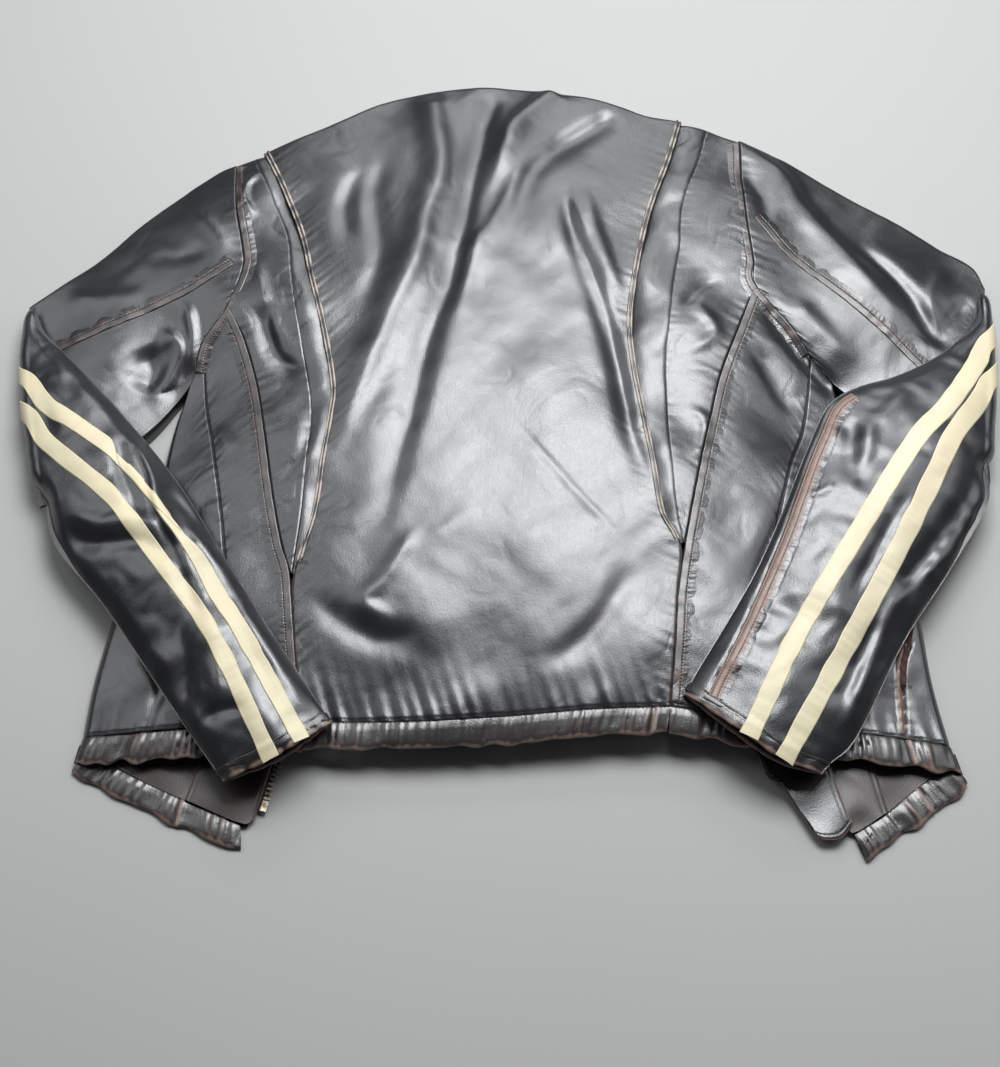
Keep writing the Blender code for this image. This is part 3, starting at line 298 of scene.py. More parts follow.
class HeightField:
    """A thin-plate surface through posts given in millimetres."""

    def __init__(self, posts: Sequence[tuple[float, float, float]]) -> None:
        """Solves the surface's weights."""
        data = np.array(posts, float) * MM
        self.places, heights = data[:, :2], data[:, 2]
        count = len(posts)
        system = np.zeros((count + 3, count + 3))
        system[:count, :count] = self.bend(self.places[:, None] - self.places[None])
        system[:count, count] = 1
        system[:count, count + 1:] = self.places
        system[count:, :count] = system[:count, count:].T
        self.weights = np.linalg.solve(system, np.concatenate([heights, np.zeros(3)]))

    @staticmethod
    def bend(offsets: Array) -> Array:
        """The plate's kernel for plan offsets."""
        squared = (offsets ** 2).sum(axis=-1)
        return 0.5 * squared * np.log(squared + 1e-12)

    def __call__(self, x: Array, y: Array) -> Array:
        """Heights over plan places of any shape."""
        here = np.stack([x, y], axis=-1)
        return (self.bend(here[..., None, :] - self.places) @ self.weights[:-3]
                + self.weights[-3] + here @ self.weights[-2:])


class Crumple:
    """Seeded smooth unevenness made of crossing waves."""

    WAVES = 26

    def __init__(self, seed: int, length: float) -> None:
        """Draws the waves.

        Args:
            seed: Seed of the draw.
            length: Typical wave length in metres.
        """
        rng = np.random.default_rng(seed)
        angle = rng.uniform(0, 2 * math.pi, self.WAVES)
        rate = 2 * math.pi / (length * rng.uniform(0.65, 1.6, self.WAVES))
        self.rates = np.stack([np.cos(angle) * rate, np.sin(angle) * rate])
        self.phase = rng.uniform(0, 2 * math.pi, self.WAVES)
        self.length = length

    def __call__(self, x: Array, y: Array) -> Array:
        """Unevenness of about -1 to 1 at plan places."""
        warp = 0.16 * self.length
        x, y = (x + warp * np.sin(y * 4.1 / self.length), y + warp * np.sin(x * 3.7 / self.length))
        waves = np.sin(np.stack([x, y], axis=-1) @ self.rates + self.phase)
        return waves.sum(axis=-1) / math.sqrt(self.WAVES)


@dataclass(frozen=True)
class Fold:
    """A ridge or, where rise is negative, a valley in the leather, in millimetres."""

    route: Plan
    rise: float
    left: float
    right: float
    fade: float = 0.3
    fade_end: float | None = None

    def relief(self, x: Array, y: Array) -> Array:
        """How much the fold lifts plan places, in metres."""
        curve = Curve(np.array(self.route, float) * MM)
        mask, signed, share, _ = curve.near(x, y, 2.6 * max(self.left, self.right) * MM)
        width = np.where(signed > 0, self.left, self.right) * MM
        last = self.fade if self.fade_end is None else self.fade_end
        ends = smooth(share / max(self.fade, 1e-3)) * smooth((1 - share) / max(last, 1e-3))
        lift = np.zeros(x.shape)
        lift[mask] = self.rise * MM * np.exp(-(signed / width) ** 2) * ends
        return lift


@dataclass(frozen=True)
class LappedSeam:
    """A topstitched seam across a sheet, its allowance raised on one side of a groove, in millimetres."""

    route: Plan
    lap: int = 1
    ridge: float = 0.8
    groove: float = 1.3
    width: float = 6.0
    pucker: float = 0.35
    wear: float = 0.3
    seed: int = 1

    def relief(self, x: Array, y: Array) -> tuple[Array, Array]:
        """The lift in metres and the wear, 0 to 1, at plan places."""
        curve = Curve(np.array(self.route, float) * MM)
        mask, signed, share, _ = curve.near(x, y, 16 * MM)
        across = signed / MM * self.lap
        arc = share * curve.total / MM
        gather = Gathers(self.seed, 8.0)(arc)
        lift, worn = np.zeros(x.shape), np.zeros(x.shape)
        ends = smooth(share * 12) * smooth((1 - share) * 12)
        body = (-self.groove * np.exp(-(across / 1.3) ** 2)
                + self.ridge * np.exp(-((across - 0.55 * self.width) / (0.36 * self.width)) ** 4)
                - 0.5 * np.exp(-((across - self.width) / 1.2) ** 2)
                + self.pucker * gather * np.exp(-np.abs(across - 0.5 * self.width) / 7))
        lift[mask] = body * MM * ends
        worn[mask] = self.wear * np.exp(-((across - 0.4 * self.width) / (0.55 * self.width)) ** 2) * ends
        return lift, worn


class Gathers:
    """Seeded unevenness along a line."""

    def __init__(self, seed: int, pitch: float) -> None:
        """Draws waves about as long as pitch, in millimetres."""
        rng = np.random.default_rng(seed)
        self.pitches = pitch * rng.uniform(0.75, 1.9, 7)
        self.phases = rng.uniform(0, 2 * math.pi, 7)

    def __call__(self, arc: Array) -> Array:
        """Unevenness of about -1 to 1 at arc lengths in millimetres."""
        waves = np.sin(2 * math.pi * np.asarray(arc)[..., None] / self.pitches + self.phases)
        return waves.sum(axis=-1) / 2.6


@dataclass(frozen=True)
class EdgeStyle:
    """How a panel's edge is sewn or turned, in millimetres."""

    drop: float = 0.0
    roll: float = 1.2
    stitches: tuple[float, ...] = ()
    channel: float = 0.45
    pucker: float = 0.0
    pitch: float = 8.0
    reach: float = 9.0
    wear: float = 0.0
    wear_width: float = 3.0
    round_over: float = 0.0
    floor: float = 0.0

    def relief(self, gap: Array, arc: Array, seed: int) -> tuple[Array, Array]:
        """The edge's own shape.

        Args:
            gap: Distance in from the edge, in millimetres.
            arc: Length along the edge, in millimetres.
            seed: Seed of its gathers.

        Returns:
            The lift in millimetres and the wear, 0 to 1.
        """
        lift = -self.drop * np.exp(-(gap / self.roll) ** 2)
        for line in self.stitches:
            lift -= self.channel * np.exp(-((gap - line) / 1.1) ** 2)
        if self.pucker:
            waves = Gathers(seed, self.pitch)(arc + 0.22 * gap)
            lift += self.pucker * waves * np.exp(-gap / self.reach)
        return lift, self.wear * np.exp(-(gap / self.wear_width) ** 2)


OPEN = EdgeStyle()
JOINED = EdgeStyle(drop=1.7, roll=1.0, pucker=0.25, wear=0.15, wear_width=1.5)
TOPSTITCHED = EdgeStyle(drop=1.7, roll=1.0, pucker=0.4, reach=12, wear=0.12, wear_width=3.0)
PLEATED = EdgeStyle(drop=1.2, roll=1.2, pucker=0.3, reach=12, wear=0.35, wear_width=8.0)
TUCKED = EdgeStyle(drop=4.8, roll=13.0)
FLAT = EdgeStyle(drop=0.5, roll=0.7, pucker=0.2, reach=6)
SUNK = EdgeStyle(drop=1.5, roll=3.2)
HEMMED = EdgeStyle(drop=0.8, roll=1.0, stitches=(2.0,), pucker=0.8, pitch=13, reach=17, wear=0.2,
                   wear_width=3.0)
SIDE_FOLD = EdgeStyle(round_over=9.0, wear=0.15)
NECK_FOLD = EdgeStyle(round_over=10.0, floor=0.005)
TURNED = EdgeStyle(drop=1.2, roll=1.6, stitches=(4.0,), wear=0.55, wear_width=2.6)


def deselect() -> None:
    """Leaves nothing selected, so that operators act on one piece only."""
    if bpy.context.object and bpy.context.object.mode != "OBJECT":
        bpy.ops.object.mode_set(mode="OBJECT")
    bpy.ops.object.select_all(action="DESELECT")


def only(piece: bpy.types.Object) -> None:
    """Makes the piece the one that is selected and active."""
    deselect()
    piece.select_set(True)
    bpy.context.view_layer.objects.active = piece


def finish_modifier(piece: bpy.types.Object, kind: str, **settings: Any) -> None:
    """Adds a modifier, sets it and applies it."""
    only(piece)
    modifier = piece.modifiers.new(kind.lower(), kind)
    for key, value in settings.items():
        setattr(modifier, key, value)
    bpy.ops.object.modifier_apply(modifier=modifier.name)


def facing_up(places: Array) -> bool:
    """Whether a grid of places, rows by columns, faces up as Blender's own grid would."""
    across = places[:, -1] - places[:, 0]
    along = places[-1] - places[0]
    mean_across, mean_along = across.mean(axis=0), along.mean(axis=0)
    return mean_across[0] * mean_along[1] - mean_across[1] * mean_along[0] > 0


def grid_piece(name: str, places: Array, wear: Array | None = None, wall: float = 0.0, closed: bool = False,
               flip: bool | None = None) -> bpy.types.Object:
    """A sheet whose grid is moved onto the places.

    Args:
        name: Name of the piece.
        places: Rows by columns by 3, in metres.
        wear: Wear at each place, 0 to 1; on the hem bands it also holds a painted highlight on the gathers'
            ridges.
        wall: Thickness given inwards.
        closed: Whether the last column is the first again.
        flip: Whether to turn the sheet over; worked out for level sheets where None.

    Returns:
        The piece, with its wear attribute.
    """
    if flip if flip is not None else not facing_up(places):
        places = places[:, ::-1]
        wear = None if wear is None else wear[:, ::-1]
    rows, columns = places.shape[:2]
    deselect()
    bpy.ops.mesh.primitive_grid_add(x_subdivisions=columns - 1, y_subdivisions=rows - 1, size=1,
                                    location=(0, 0, 0))
    piece = bpy.context.object
    piece.name = piece.data.name = name
    piece.data.vertices.foreach_set("co", places.astype(np.float32).ravel())
    attribute = piece.data.attributes.new("wear", "FLOAT", "POINT")
    worn = np.zeros(rows * columns) if wear is None else wear.ravel()
    attribute.data.foreach_set("value", worn.astype(np.float32))
    piece.data.update()
    if closed:
        bpy.ops.object.mode_set(mode="EDIT")
        bpy.ops.mesh.select_all(action="SELECT")
        bpy.ops.mesh.remove_doubles(threshold=2e-5)
        bpy.ops.object.mode_set(mode="OBJECT")
    if wall:
        finish_modifier(piece, "SOLIDIFY", thickness=wall, offset=-1.0, use_even_offset=False)
    only(piece)
    bpy.ops.object.shade_smooth_by_angle(angle=math.radians(60))
    return piece


def sheet_size(places: Array) -> tuple[float, float, float]:
    """The flat width, length and area of a sheet's middle, in metres, as it was cut."""
    rows = np.linalg.norm(np.diff(places, axis=1), axis=-1).sum(axis=1)
    columns = np.linalg.norm(np.diff(places, axis=0), axis=-1).sum(axis=0)
    first = np.cross(places[1:, 1:] - places[:-1, :-1], places[1:, :-1] - places[:-1, 1:])
    area = 0.5 * np.linalg.norm(first, axis=-1).sum()
    width, length = math.ceil(rows.max() * 200) / 200, math.ceil(columns.max() * 200) / 200
    return width, length, float(min(area, width * length))


STITCH_PITCH = 0.0036


def spaced(total: Array, edge_in: Sequence[float], edge_out: Sequence[float], middle: int) -> Array:
    """Shares across a panel with close lines near both edges.

    Args:
        total: Length across, one value per row, in metres.
        edge_in: Distances of the close lines from the first edge, in metres.
        edge_out: The same from the last edge.
        middle: Lines between the two groups.

    Returns:
        Shares, one row per value of total.
    """
    total = np.maximum(np.atleast_1d(total)[:, None], 1e-4)
    scale = np.minimum(1.0, 0.44 * total / max(max(edge_in), max(edge_out), 1e-4))
    first = np.array(edge_in)[None] * scale / total
    last = 1 - np.array(edge_out)[None, ::-1] * scale / total
    t = np.linspace(0, 1, middle + 2)[None, 1:-1]
    return np.concatenate([first, first[:, -1:] + (last[:, :1] - first[:, -1:]) * t, last], axis=1)


CLOSE = tuple(value * MM for value in (0, 0.6, 1.2, 1.9, 2.7, 3.6, 4.6, 5.6, 6.6, 7.7, 9.2, 11.0))
FEW = tuple(value * MM for value in (0, 1.0, 2.5))


@dataclass
class Panel:
    """One cut of leather or lining between four plan curves, sewn along its edges."""

    name: str
    left: Plan
    right: Plan
    height: Height
    head: Plan | None = None
    foot: Plan | None = None
    styles: dict[str, EdgeStyle] = field(default_factory=dict)
    seams: Sequence[LappedSeam] = ()
    step: float = 0.0024
    wall: float = 0.0013
    base: float = 0.0009
    floor: float = 0.0

    def __post_init__(self) -> None:
        """Turns the plan points into curves."""
        self.curves = {"left": Curve(self.left), "right": Curve(self.right)}
        for place, given, share in (("head", self.head, 0.0), ("foot", self.foot, 1.0)):
            ends = [tuple(self.curves[edge].at(np.array(share))) for edge in ("left", "right")]
            self.curves[place] = Curve(given or ends)
        self.seed = zlib.crc32(self.name.encode())

    def plan(self, u: Array, v: Array) -> Array:
        """The Coons patch between the four curves."""
        left, right = self.curves["left"], self.curves["right"]
        u1, v1 = u[..., None], v[..., None]
        corners = ((1 - u1) * (1 - v1) * left.at(np.zeros(1)) + u1 * (1 - v1) * right.at(np.zeros(1))
                   + (1 - u1) * v1 * left.at(np.ones(1)) + u1 * v1 * right.at(np.ones(1)))
        return ((1 - u1) * left.at(v) + u1 * right.at(v) + (1 - v1) * self.curves["head"].at(u)
                + v1 * self.curves["foot"].at(u) - corners)

    def sizes(self, u: Array, v: Array) -> tuple[Array, Array]:
        """Width and length of the panel about each share pair."""
        across = self.plan(np.ones_like(v), v) - self.plan(np.zeros_like(v), v)
        down = self.plan(u, np.ones_like(u)) - self.plan(u, np.zeros_like(u))
        return np.linalg.norm(across, axis=-1), np.linalg.norm(down, axis=-1)

    def sewn(self, u: Array, v: Array, place: Array) -> tuple[Array, Array, Array, float]:
        """The lift in metres, wear, share of height left and floor height that edges and seams give."""
        width, length = self.sizes(u, v)
        lift, worn, fall, floor = np.zeros(u.shape), np.zeros(u.shape), np.ones(u.shape), self.base
        gaps = {"left": u * width, "right": (1 - u) * width, "head": v * length, "foot": (1 - v) * length}
        arcs = {"left": v * length, "right": v * length, "head": u * width, "foot": u * width}
        for index, (edge, style) in enumerate(sorted(self.styles.items())):
            gap = gaps[edge] / MM
            one, two = style.relief(gap, arcs[edge] / MM, self.seed + index)
            lift, worn = lift + one * MM, np.maximum(worn, two)
            if style.round_over:
                fall *= np.sqrt(np.clip(1 - (1 - np.minimum(gap / style.round_over, 1)) ** 2, 0, 1))
                floor = max(floor, style.floor)
        for seam in self.seams:
            one, two = seam.relief(place[..., 0], place[..., 1])
            lift, worn = lift + one, np.maximum(worn, two)
        return lift, worn, fall, floor

    def surface(self, u: Array, v: Array) -> tuple[Array, Array]:
        """Places and wear at share pairs, with seams, gathers and turned edges."""
        place = self.plan(u, v)
        lift, worn, fall, floor = self.sewn(u, v, place)
        z = self.height(place[..., 0], place[..., 1])
        z = np.maximum(floor + (z + lift - floor) * fall, self.floor)
        return np.stack([place[..., 0], place[..., 1], z], axis=-1), worn

    def build(self) -> tuple[bpy.types.Object, tuple[float, float, float]]:
        """Makes the sheet and says what size it was cut to."""
        close = {edge: CLOSE if self.styles.get(edge, OPEN) is not OPEN else FEW
                 for edge in ("left", "right", "head", "foot")}
        length = 0.5 * (self.curves["left"].total + self.curves["right"].total)
        rows = max(4, int(length / self.step) - 8)
        v = spaced(np.array([length]), close["head"], close["foot"], rows)[0]
        width = np.linalg.norm(self.plan(np.ones_like(v), v) - self.plan(np.zeros_like(v), v), axis=-1)
        columns = max(4, int(width.max() / self.step) - 8)
        u = spaced(width, close["left"], close["right"], columns)
        places, worn = self.surface(u, np.repeat(v[:, None], u.shape[1], axis=1))
        return grid_piece(self.name, places, worn, wall=self.wall), sheet_size(places)

    def stitch_line(self, edge: str, gap: float, pitch: float = STITCH_PITCH) -> tuple[Array, Array]:
        """Places and directions of the stitches a gap in millimetres in from an edge."""
        curve = self.curves[edge]
        share = np.arange(0.006, curve.total - 0.006, pitch) / curve.total
        upright = edge in ("left", "right")
        near, far = np.zeros_like(share), np.ones_like(share)
        across = (self.plan(far, share) - self.plan(near, share) if upright
                  else self.plan(share, far) - self.plan(share, near))
        far = np.linalg.norm(across, axis=-1)
        inset = np.minimum(gap * MM / far, 0.45)
        inset = inset if edge in ("left", "head") else 1 - inset
        u, v = (inset, share) if upright else (share, inset)
        places, _ = self.surface(u, v)
        return places, np.gradient(places, axis=0)


class ForearmSkin:
    """Lays the outer layer of a folded forearm: flat over the back, and round the elbow to the floor."""

    REACH = 0.012
    TURN = 0.0140
    PINCH = 0.0200
    EDGE = 0.015

    def __init__(self, side: Side, inner: Plan, outer: Plan, crease: Plan, axis: tuple[float, float],
                 folds: Sequence[Fold]) -> None:
        """Sets the elbow's frame and the flat cut's long edges."""
        self.side = side
        self.axis = np.array(axis)
        self.out = np.array([axis[1], -axis[0]]) * side.out
        points = Curve(crease).points
        order = np.argsort(points @ self.axis)
        self.crease_t, self.crease_n = (points @ self.axis)[order], (points @ self.out)[order]
        self.top = HeightField(FOREARM_TOP_POSTS[side.value])
        self.under = HeightField(FOREARM_UNDER_POSTS[side.value])
        self.folds = folds
        self.rumple = Crumple(31 + side.out, 0.060), Crumple(35 + side.out, 0.024)
        self.edges = []
        for edge in (inner, outer):
            knots = np.array(edge)
            end = knots[-1] + (knots[-1] - knots[-2]) * 0.5
            self.edges.append(Curve([tuple(knots[0] + self.out * 0.11), *edge, tuple(end)]))

    def place(self, x: Array, y: Array, lift: Any = 0.0) -> Array:
        """Where places of the flat cut lie.

        Args:
            x: Flat positions.
            y: Flat positions.
            lift: Rise off the layer's face, in metres.

        Returns:
            Places on the folded layer.
        """
        flat = np.stack([x, y], axis=-1)
        t, n = flat @ self.axis, flat @ self.out
        base = np.interp(t, self.crease_t, self.crease_n) - self.REACH
        over = np.maximum(n - base, 0)
        angle = np.minimum(over / self.TURN, math.pi)
        tail = np.maximum(over - math.pi * self.TURN, 0)
        stay = np.minimum(n, base)
        here = t[..., None] * self.axis + stay[..., None] * self.out
        hx, hy = here[..., 0], here[..., 1]
        face = self.top(hx, hy)
        for fold in self.folds:
            face = face + fold.relief(hx, hy)
        face = face + self.rumple[0](hx, hy) * 0.9 * MM + self.rumple[1](hx, hy) * 0.25 * MM
        gap = np.full(x.shape, 1.0)
        for edge in self.edges:
            mask, _, _, near = edge.near(x, y, self.EDGE)
            gap[mask] = np.minimum(gap[mask], near)
        fall = np.sqrt(np.clip(1 - (1 - np.minimum(gap / self.EDGE, 1)) ** 2, 0, 1))
        folded = smooth((n - base + 0.03) / 0.03)
        low = self.under(hx, hy) * (1 - folded) + self.PINCH * folded
        level = low + (face + lift - low) * fall
        half = 0.5 * (face - 0.001)
        turned = 0.001 + half * (1 + np.cos(angle)) + lift * np.cos(angle)
        kept = fall + (1 - fall) * smooth(tail / 0.012)
        turned = self.PINCH + (turned - self.PINCH) * kept
        reach = (self.REACH + lift) * np.sin(angle) * (0.3 + 0.7 * fall)
        moved = t[..., None] * self.axis + (stay + reach - tail)[..., None] * self.out
        z = np.where(over > 0, np.maximum(turned, 0.0005), level)
        return np.concatenate([moved, z[..., None]], axis=-1)


@dataclass
class SkinPanel(Panel):
    """A panel laid by the forearm's skin."""

    skin: ForearmSkin | None = None

    def surface(self, u: Array, v: Array) -> tuple[Array, Array]:
        """Places and wear at share pairs of the flat cut."""
        place = self.plan(u, v)
        lift, worn, _, _ = self.sewn(u, v, place)
        return self.skin.place(place[..., 0], place[..., 1], lift), worn


class Stitching:
    """All the thread of one assembly, one small stitch copied along its seams."""

    LENGTH = 0.0018
    THICK = 0.00026

    def __init__(self) -> None:
        """Starts with no stitch."""
        self.places: list[Array] = []
        self.runs: list[Array] = []

    def add(self, places: Array, runs: Array) -> None:
        """Adds a line of stitches at places, each pointing along its run."""
        self.places.append(places)
        self.runs.append(runs / np.linalg.norm(runs, axis=-1, keepdims=True))

    def single(self) -> tuple[Array, list[tuple[int, ...]]]:
        """The one stitch that is copied, along X, with its faces."""
        deselect()
        bpy.ops.mesh.primitive_cylinder_add(vertices=6, radius=self.THICK, depth=self.LENGTH,
                                            rotation=(0, math.pi / 2, 0), end_fill_type="NGON")
        stitch = bpy.context.object
        bpy.ops.object.transform_apply(location=True, rotation=True, scale=True)
        bpy.ops.object.mode_set(mode="EDIT")
        bpy.ops.mesh.select_all(action="SELECT")
        bpy.ops.mesh.subdivide(number_cuts=1)
        bpy.ops.object.mode_set(mode="OBJECT")
        points = np.array([vertex.co for vertex in stitch.data.vertices])
        ends = np.abs(points[:, 0]) > 0.45 * self.LENGTH
        points[ends, 1:] *= 0.55
        points[:, 2] += np.where(ends, -0.7, 0.45) * self.THICK
        faces = [tuple(face.vertices) for face in stitch.data.polygons]
        bpy.data.objects.remove(stitch, do_unlink=True)
        return points, faces

    def build(self, name: str) -> bpy.types.Object:
        """Copies the stitch to every place and joins the copies."""
        points, faces = self.single()
        places, runs = np.concatenate(self.places), np.concatenate(self.runs)
        beside = np.cross(np.array([0.0, 0.0, 1.0]), runs)
        beside /= np.linalg.norm(beside, axis=-1, keepdims=True) + 1e-9
        up = np.cross(runs, beside)
        turned = (points[None, :, :1] * runs[:, None] + points[None, :, 1:2] * beside[:, None]
                  + points[None, :, 2:] * up[:, None])
        cloud = (places[:, None] + turned).reshape(-1, 3)
        mesh = bpy.data.meshes.new(name)
        count = len(points)
        mesh.from_pydata(cloud.tolist(), [], [tuple(index + count * copy for index in face)
                                              for copy in range(len(places)) for face in faces])
        piece = bpy.data.objects.new(name, mesh)
        bpy.context.scene.collection.objects.link(piece)
        only(piece)
        bpy.ops.object.shade_smooth_by_angle(angle=math.radians(50))
        return piece


def round_cord(name: str, path: Array, radius: float, around: int = 10) -> bpy.types.Object:
    """A soft round cord of leather along a path, worn all over.

    Args:
        name: Name of the piece.
        path: Places that it follows.
        radius: Its radius in metres.
        around: Faces round it.

    Returns:
        The closed cord.
    """
    run = np.gradient(path, axis=0)
    run /= np.linalg.norm(run, axis=-1, keepdims=True)
    beside = np.cross(run, np.array([0.0, 0.0, 1.0]))
    beside /= np.linalg.norm(beside, axis=-1, keepdims=True)
    up = np.cross(beside, run)
    angle = np.linspace(0, 2 * math.pi, around + 1)
    taper = np.ones(len(path))
    taper[0] = taper[-1] = 0.02
    ring = beside[:, None] * np.cos(angle)[None, :, None] + up[:, None] * np.sin(angle)[None, :, None]
    places = path[:, None] + ring * radius * taper[:, None, None]
    arc = np.arange(len(path))[:, None] * 0.7
    worn = 0.55 + 0.35 * Gathers(len(path), 9.0)(arc) + 0.25 * np.sin(angle)[None]
    return grid_piece(name, places, np.clip(worn, 0.05, 1.0), closed=True, flip=False)


@dataclass(frozen=True)
class Lap:
    """The sewn allowance along a seam: crisp edge, rows of thread and drawn puckers, in millimetres."""

    rows: tuple[float, ...] = (6.9,)
    width: float = 8.2
    rise: float = 0.9
    pucker: float = 0.15
    spread: float = 15.0
    wear: float = 0.36
    pitch: float = 2.7
    step: float = 0.62

    def section(self) -> tuple[Array, Array]:
        """Gaps from the seam's edge and the rise at each."""
        inner = [gap for row in self.rows for gap in (row - 0.8, row - 0.4, row, row + 0.4, row + 0.8)]
        gaps = np.unique([-0.5, -0.12, 0.05, 0.3, 0.8, 1.4, 2.4, 3.4, 4.4, 5.4, *inner, self.width + 0.4,
                          self.width + 1.4, self.width + 2.8, self.width + 4.6, self.spread])
        known = [-0.5, -0.12, 0.05, 0.3, 0.8, self.width - 0.9, self.width + 0.5, self.width + 3.5,
                 self.spread]
        rises = [-1.9, -0.9, 0.15, 0.66, self.rise, self.rise * 0.9, 0.34, 0.16, -0.35]
        return gaps, np.interp(gaps, known, rises)

    def make(self, name: str, route: Plan, side: int, place: Callable[[Array, Array, Array], Array],
             seed: int, thread: Stitching) -> tuple[bpy.types.Object, tuple[float, float, float]]:
        """Lays the lap along a route.

        Args:
            name: Name of the piece.
            route: The seam in plan, in metres.
            side: The side of the route that it lies on, 1 being the left.
            place: Lays plan places with a lift.
            seed: Seed of its puckers.
            thread: Takes the stitches.

        Returns:
            The piece and its cut size.
        """
        curve, (gaps, rise) = Curve(route), self.section()
        share = np.linspace(0, 1, int(curve.total / MM / self.step) + 2)
        arc = share[:, None] * curve.total / MM
        gap = np.broadcast_to(gaps[None], (len(share), len(gaps)))
        lift = rise[None] + np.zeros_like(arc)
        pits = (0.5 + 0.5 * np.cos(2 * math.pi * arc / self.pitch)) ** 1.5
        for row in self.rows:
            lift = lift - (0.16 + 0.62 * pits) * np.exp(-((gap - row) / 0.62) ** 2)
        past = np.clip((gap - max(self.rows)) / 1.2, 0, 1)
        drawn = Gathers(seed, 4.4)(arc + 0.2 * gap) + 0.8 * pits
        lift = lift + self.pucker * drawn * past * np.exp(-(gap - 7) / 4.5)
        lift = lift + 0.2 * Gathers(seed + 3, 15.0)(arc) * smooth(gap)
        lift = np.where(gap > -0.3, lift, rise[None])
        ends = smooth(arc / 5) * smooth((curve.total / MM - arc) / 5)
        lift = lift * ends - 1.6 * (1 - ends)
        spill = np.exp(-np.maximum(gap - self.width, 0) / 3.0)
        worn = self.wear * smooth(gap + 0.3) * spill * (1 + 0.10 * Gathers(seed + 5, 26.0)(arc))
        spots = curve.beside(np.repeat(share[:, None], len(gaps), axis=1), side * gap * MM)
        places = place(spots[..., 0], spots[..., 1], lift * MM)
        for row in self.rows:
            steps = np.arange(2.5 * self.pitch, curve.total / MM - 3, self.pitch) * MM / curve.total
            spots = curve.beside(steps, np.full(steps.shape, side * row * MM))
            line = place(spots[:, 0], spots[:, 1], np.full(steps.shape, (self.rise - 0.16) * MM))
            thread.add(line, np.gradient(line, axis=0))
        return grid_piece(name, places, np.clip(worn, 0, 1), wall=0.0007), sheet_size(places)


@dataclass
class Band:
    """A hem band folded in two over its edge, its top face gathered by the stitching."""

    name: str
    stitch: Plan
    edge: Plan
    height: Height
    gather: float
    pitch: float
    fold_start: bool = False
    fold_stop: bool = False
    base: float = 0.0050
    seams: Sequence[float] = ()
    thick: float = 3.6

    PROFILE = [(0.0, -1.0), (0.03, -0.1), (0.12, 0.3), (0.3, 0.8), (0.55, 0.7), (0.8, 0.4), (0.93, -0.1),
               (0.985, -0.9), (1.0, -1.9), (0.985, -2.9), (0.93, -3.5), (0.7, -3.7), (0.35, -3.7)]

    def surface(self, share: Array, turn: Array) -> tuple[Array, Array]:
        """Places, and wear with a painted highlight on the gathers' ridges, at shares along the band and
        round its profile.
        """
        stitch, edge = Curve(self.stitch), Curve(self.edge)
        steps = np.linspace(0, 1, len(self.PROFILE))
        reach = np.interp(turn, steps, [item[0] for item in self.PROFILE])
        thicker = self.thick / 3.6
        heights = [item[1] * (thicker if item[1] < 0 else 1) for item in self.PROFILE]
        rise = np.interp(turn, steps, heights)
        arc = share * stitch.total / MM
        seed = zlib.crc32(self.name.encode()) % 9973
        slow, quick = Gathers(seed, 2.4 * self.pitch), Gathers(seed + 1, self.pitch)
        waves = 0.55 * slow(arc + 5 * reach) + 0.75 * np.abs(quick(arc + 3 * reach + 1.5 * slow(arc))) - 0.35
        amount = self.gather * np.sin(math.pi * np.clip(0.12 + 0.80 * reach, 0, 1))
        top = turn < 0.62
        place = stitch.at(share) + (edge.at(share) - stitch.at(share)) * (
            reach + 0.045 * self.gather * slow(arc) * reach)[..., None]
        gathered = rise + np.where(top, amount, 0.5 * amount) * waves
        z = self.height(place[..., 0], place[..., 1]) + gathered * MM
        # The worn colour along the folded edge is wear; the waves term adds a painted highlight in the same
        # colour on the gathers' ridges.
        worn = (0.14 + 0.62 * np.exp(-((reach - 1.02) / 0.13) ** 2) * np.where(top, 1.0, 0.5)
                + 0.20 * waves * self.gather)
        for seam in self.seams:
            gap = (share - seam) * stitch.total / MM
            z += (-1.4 * np.exp(-(gap / 1.2) ** 2) + 0.7 * np.exp(-((gap - 3.4) / 2.4) ** 2)) * MM
            worn = np.maximum(worn, 0.9 * np.exp(-((gap - 2.5) / 2.5) ** 2))
        for used, gap in ((self.fold_start, share), (self.fold_stop, 1 - share)):
            if used:
                near = np.minimum(gap * stitch.total / 0.012, 1)
                z = self.base + (z - self.base) * np.sqrt(np.clip(1 - (1 - near) ** 2, 0, 1))
        return np.concatenate([place, z[..., None]], axis=-1), np.clip(worn, 0, 1)

    def build(self) -> tuple[bpy.types.Object, tuple[float, float, float]]:
        """Makes the band and says what size it was cut to."""
        columns = int(Curve(self.stitch).total / 0.0016)
        share, turn = np.meshgrid(np.linspace(0, 1, columns), np.linspace(0, 1, 40))
        places, worn = self.surface(share, turn)
        return grid_piece(self.name, places, worn, wall=0.0012, flip=self.turned_over()), sheet_size(places)

    def turned_over(self) -> bool:
        """Whether the grid's rows run so that its top faces down."""
        stitch, edge = Curve(self.stitch), Curve(self.edge)
        along = stitch.points[-1] - stitch.points[0]
        across = edge.points[0] - stitch.points[0]
        return float(along[0] * across[1] - along[1] * across[0]) < 0

    def stitch_line(self, turn: float) -> tuple[Array, Array]:
        """Places and directions of stitches at one height of the profile."""
        total = Curve(self.stitch).total
        share = np.arange(0.004, total - 0.004, STITCH_PITCH) / total
        places, _ = self.surface(share, np.full(share.shape, turn))
        return places, np.gradient(places, axis=0)


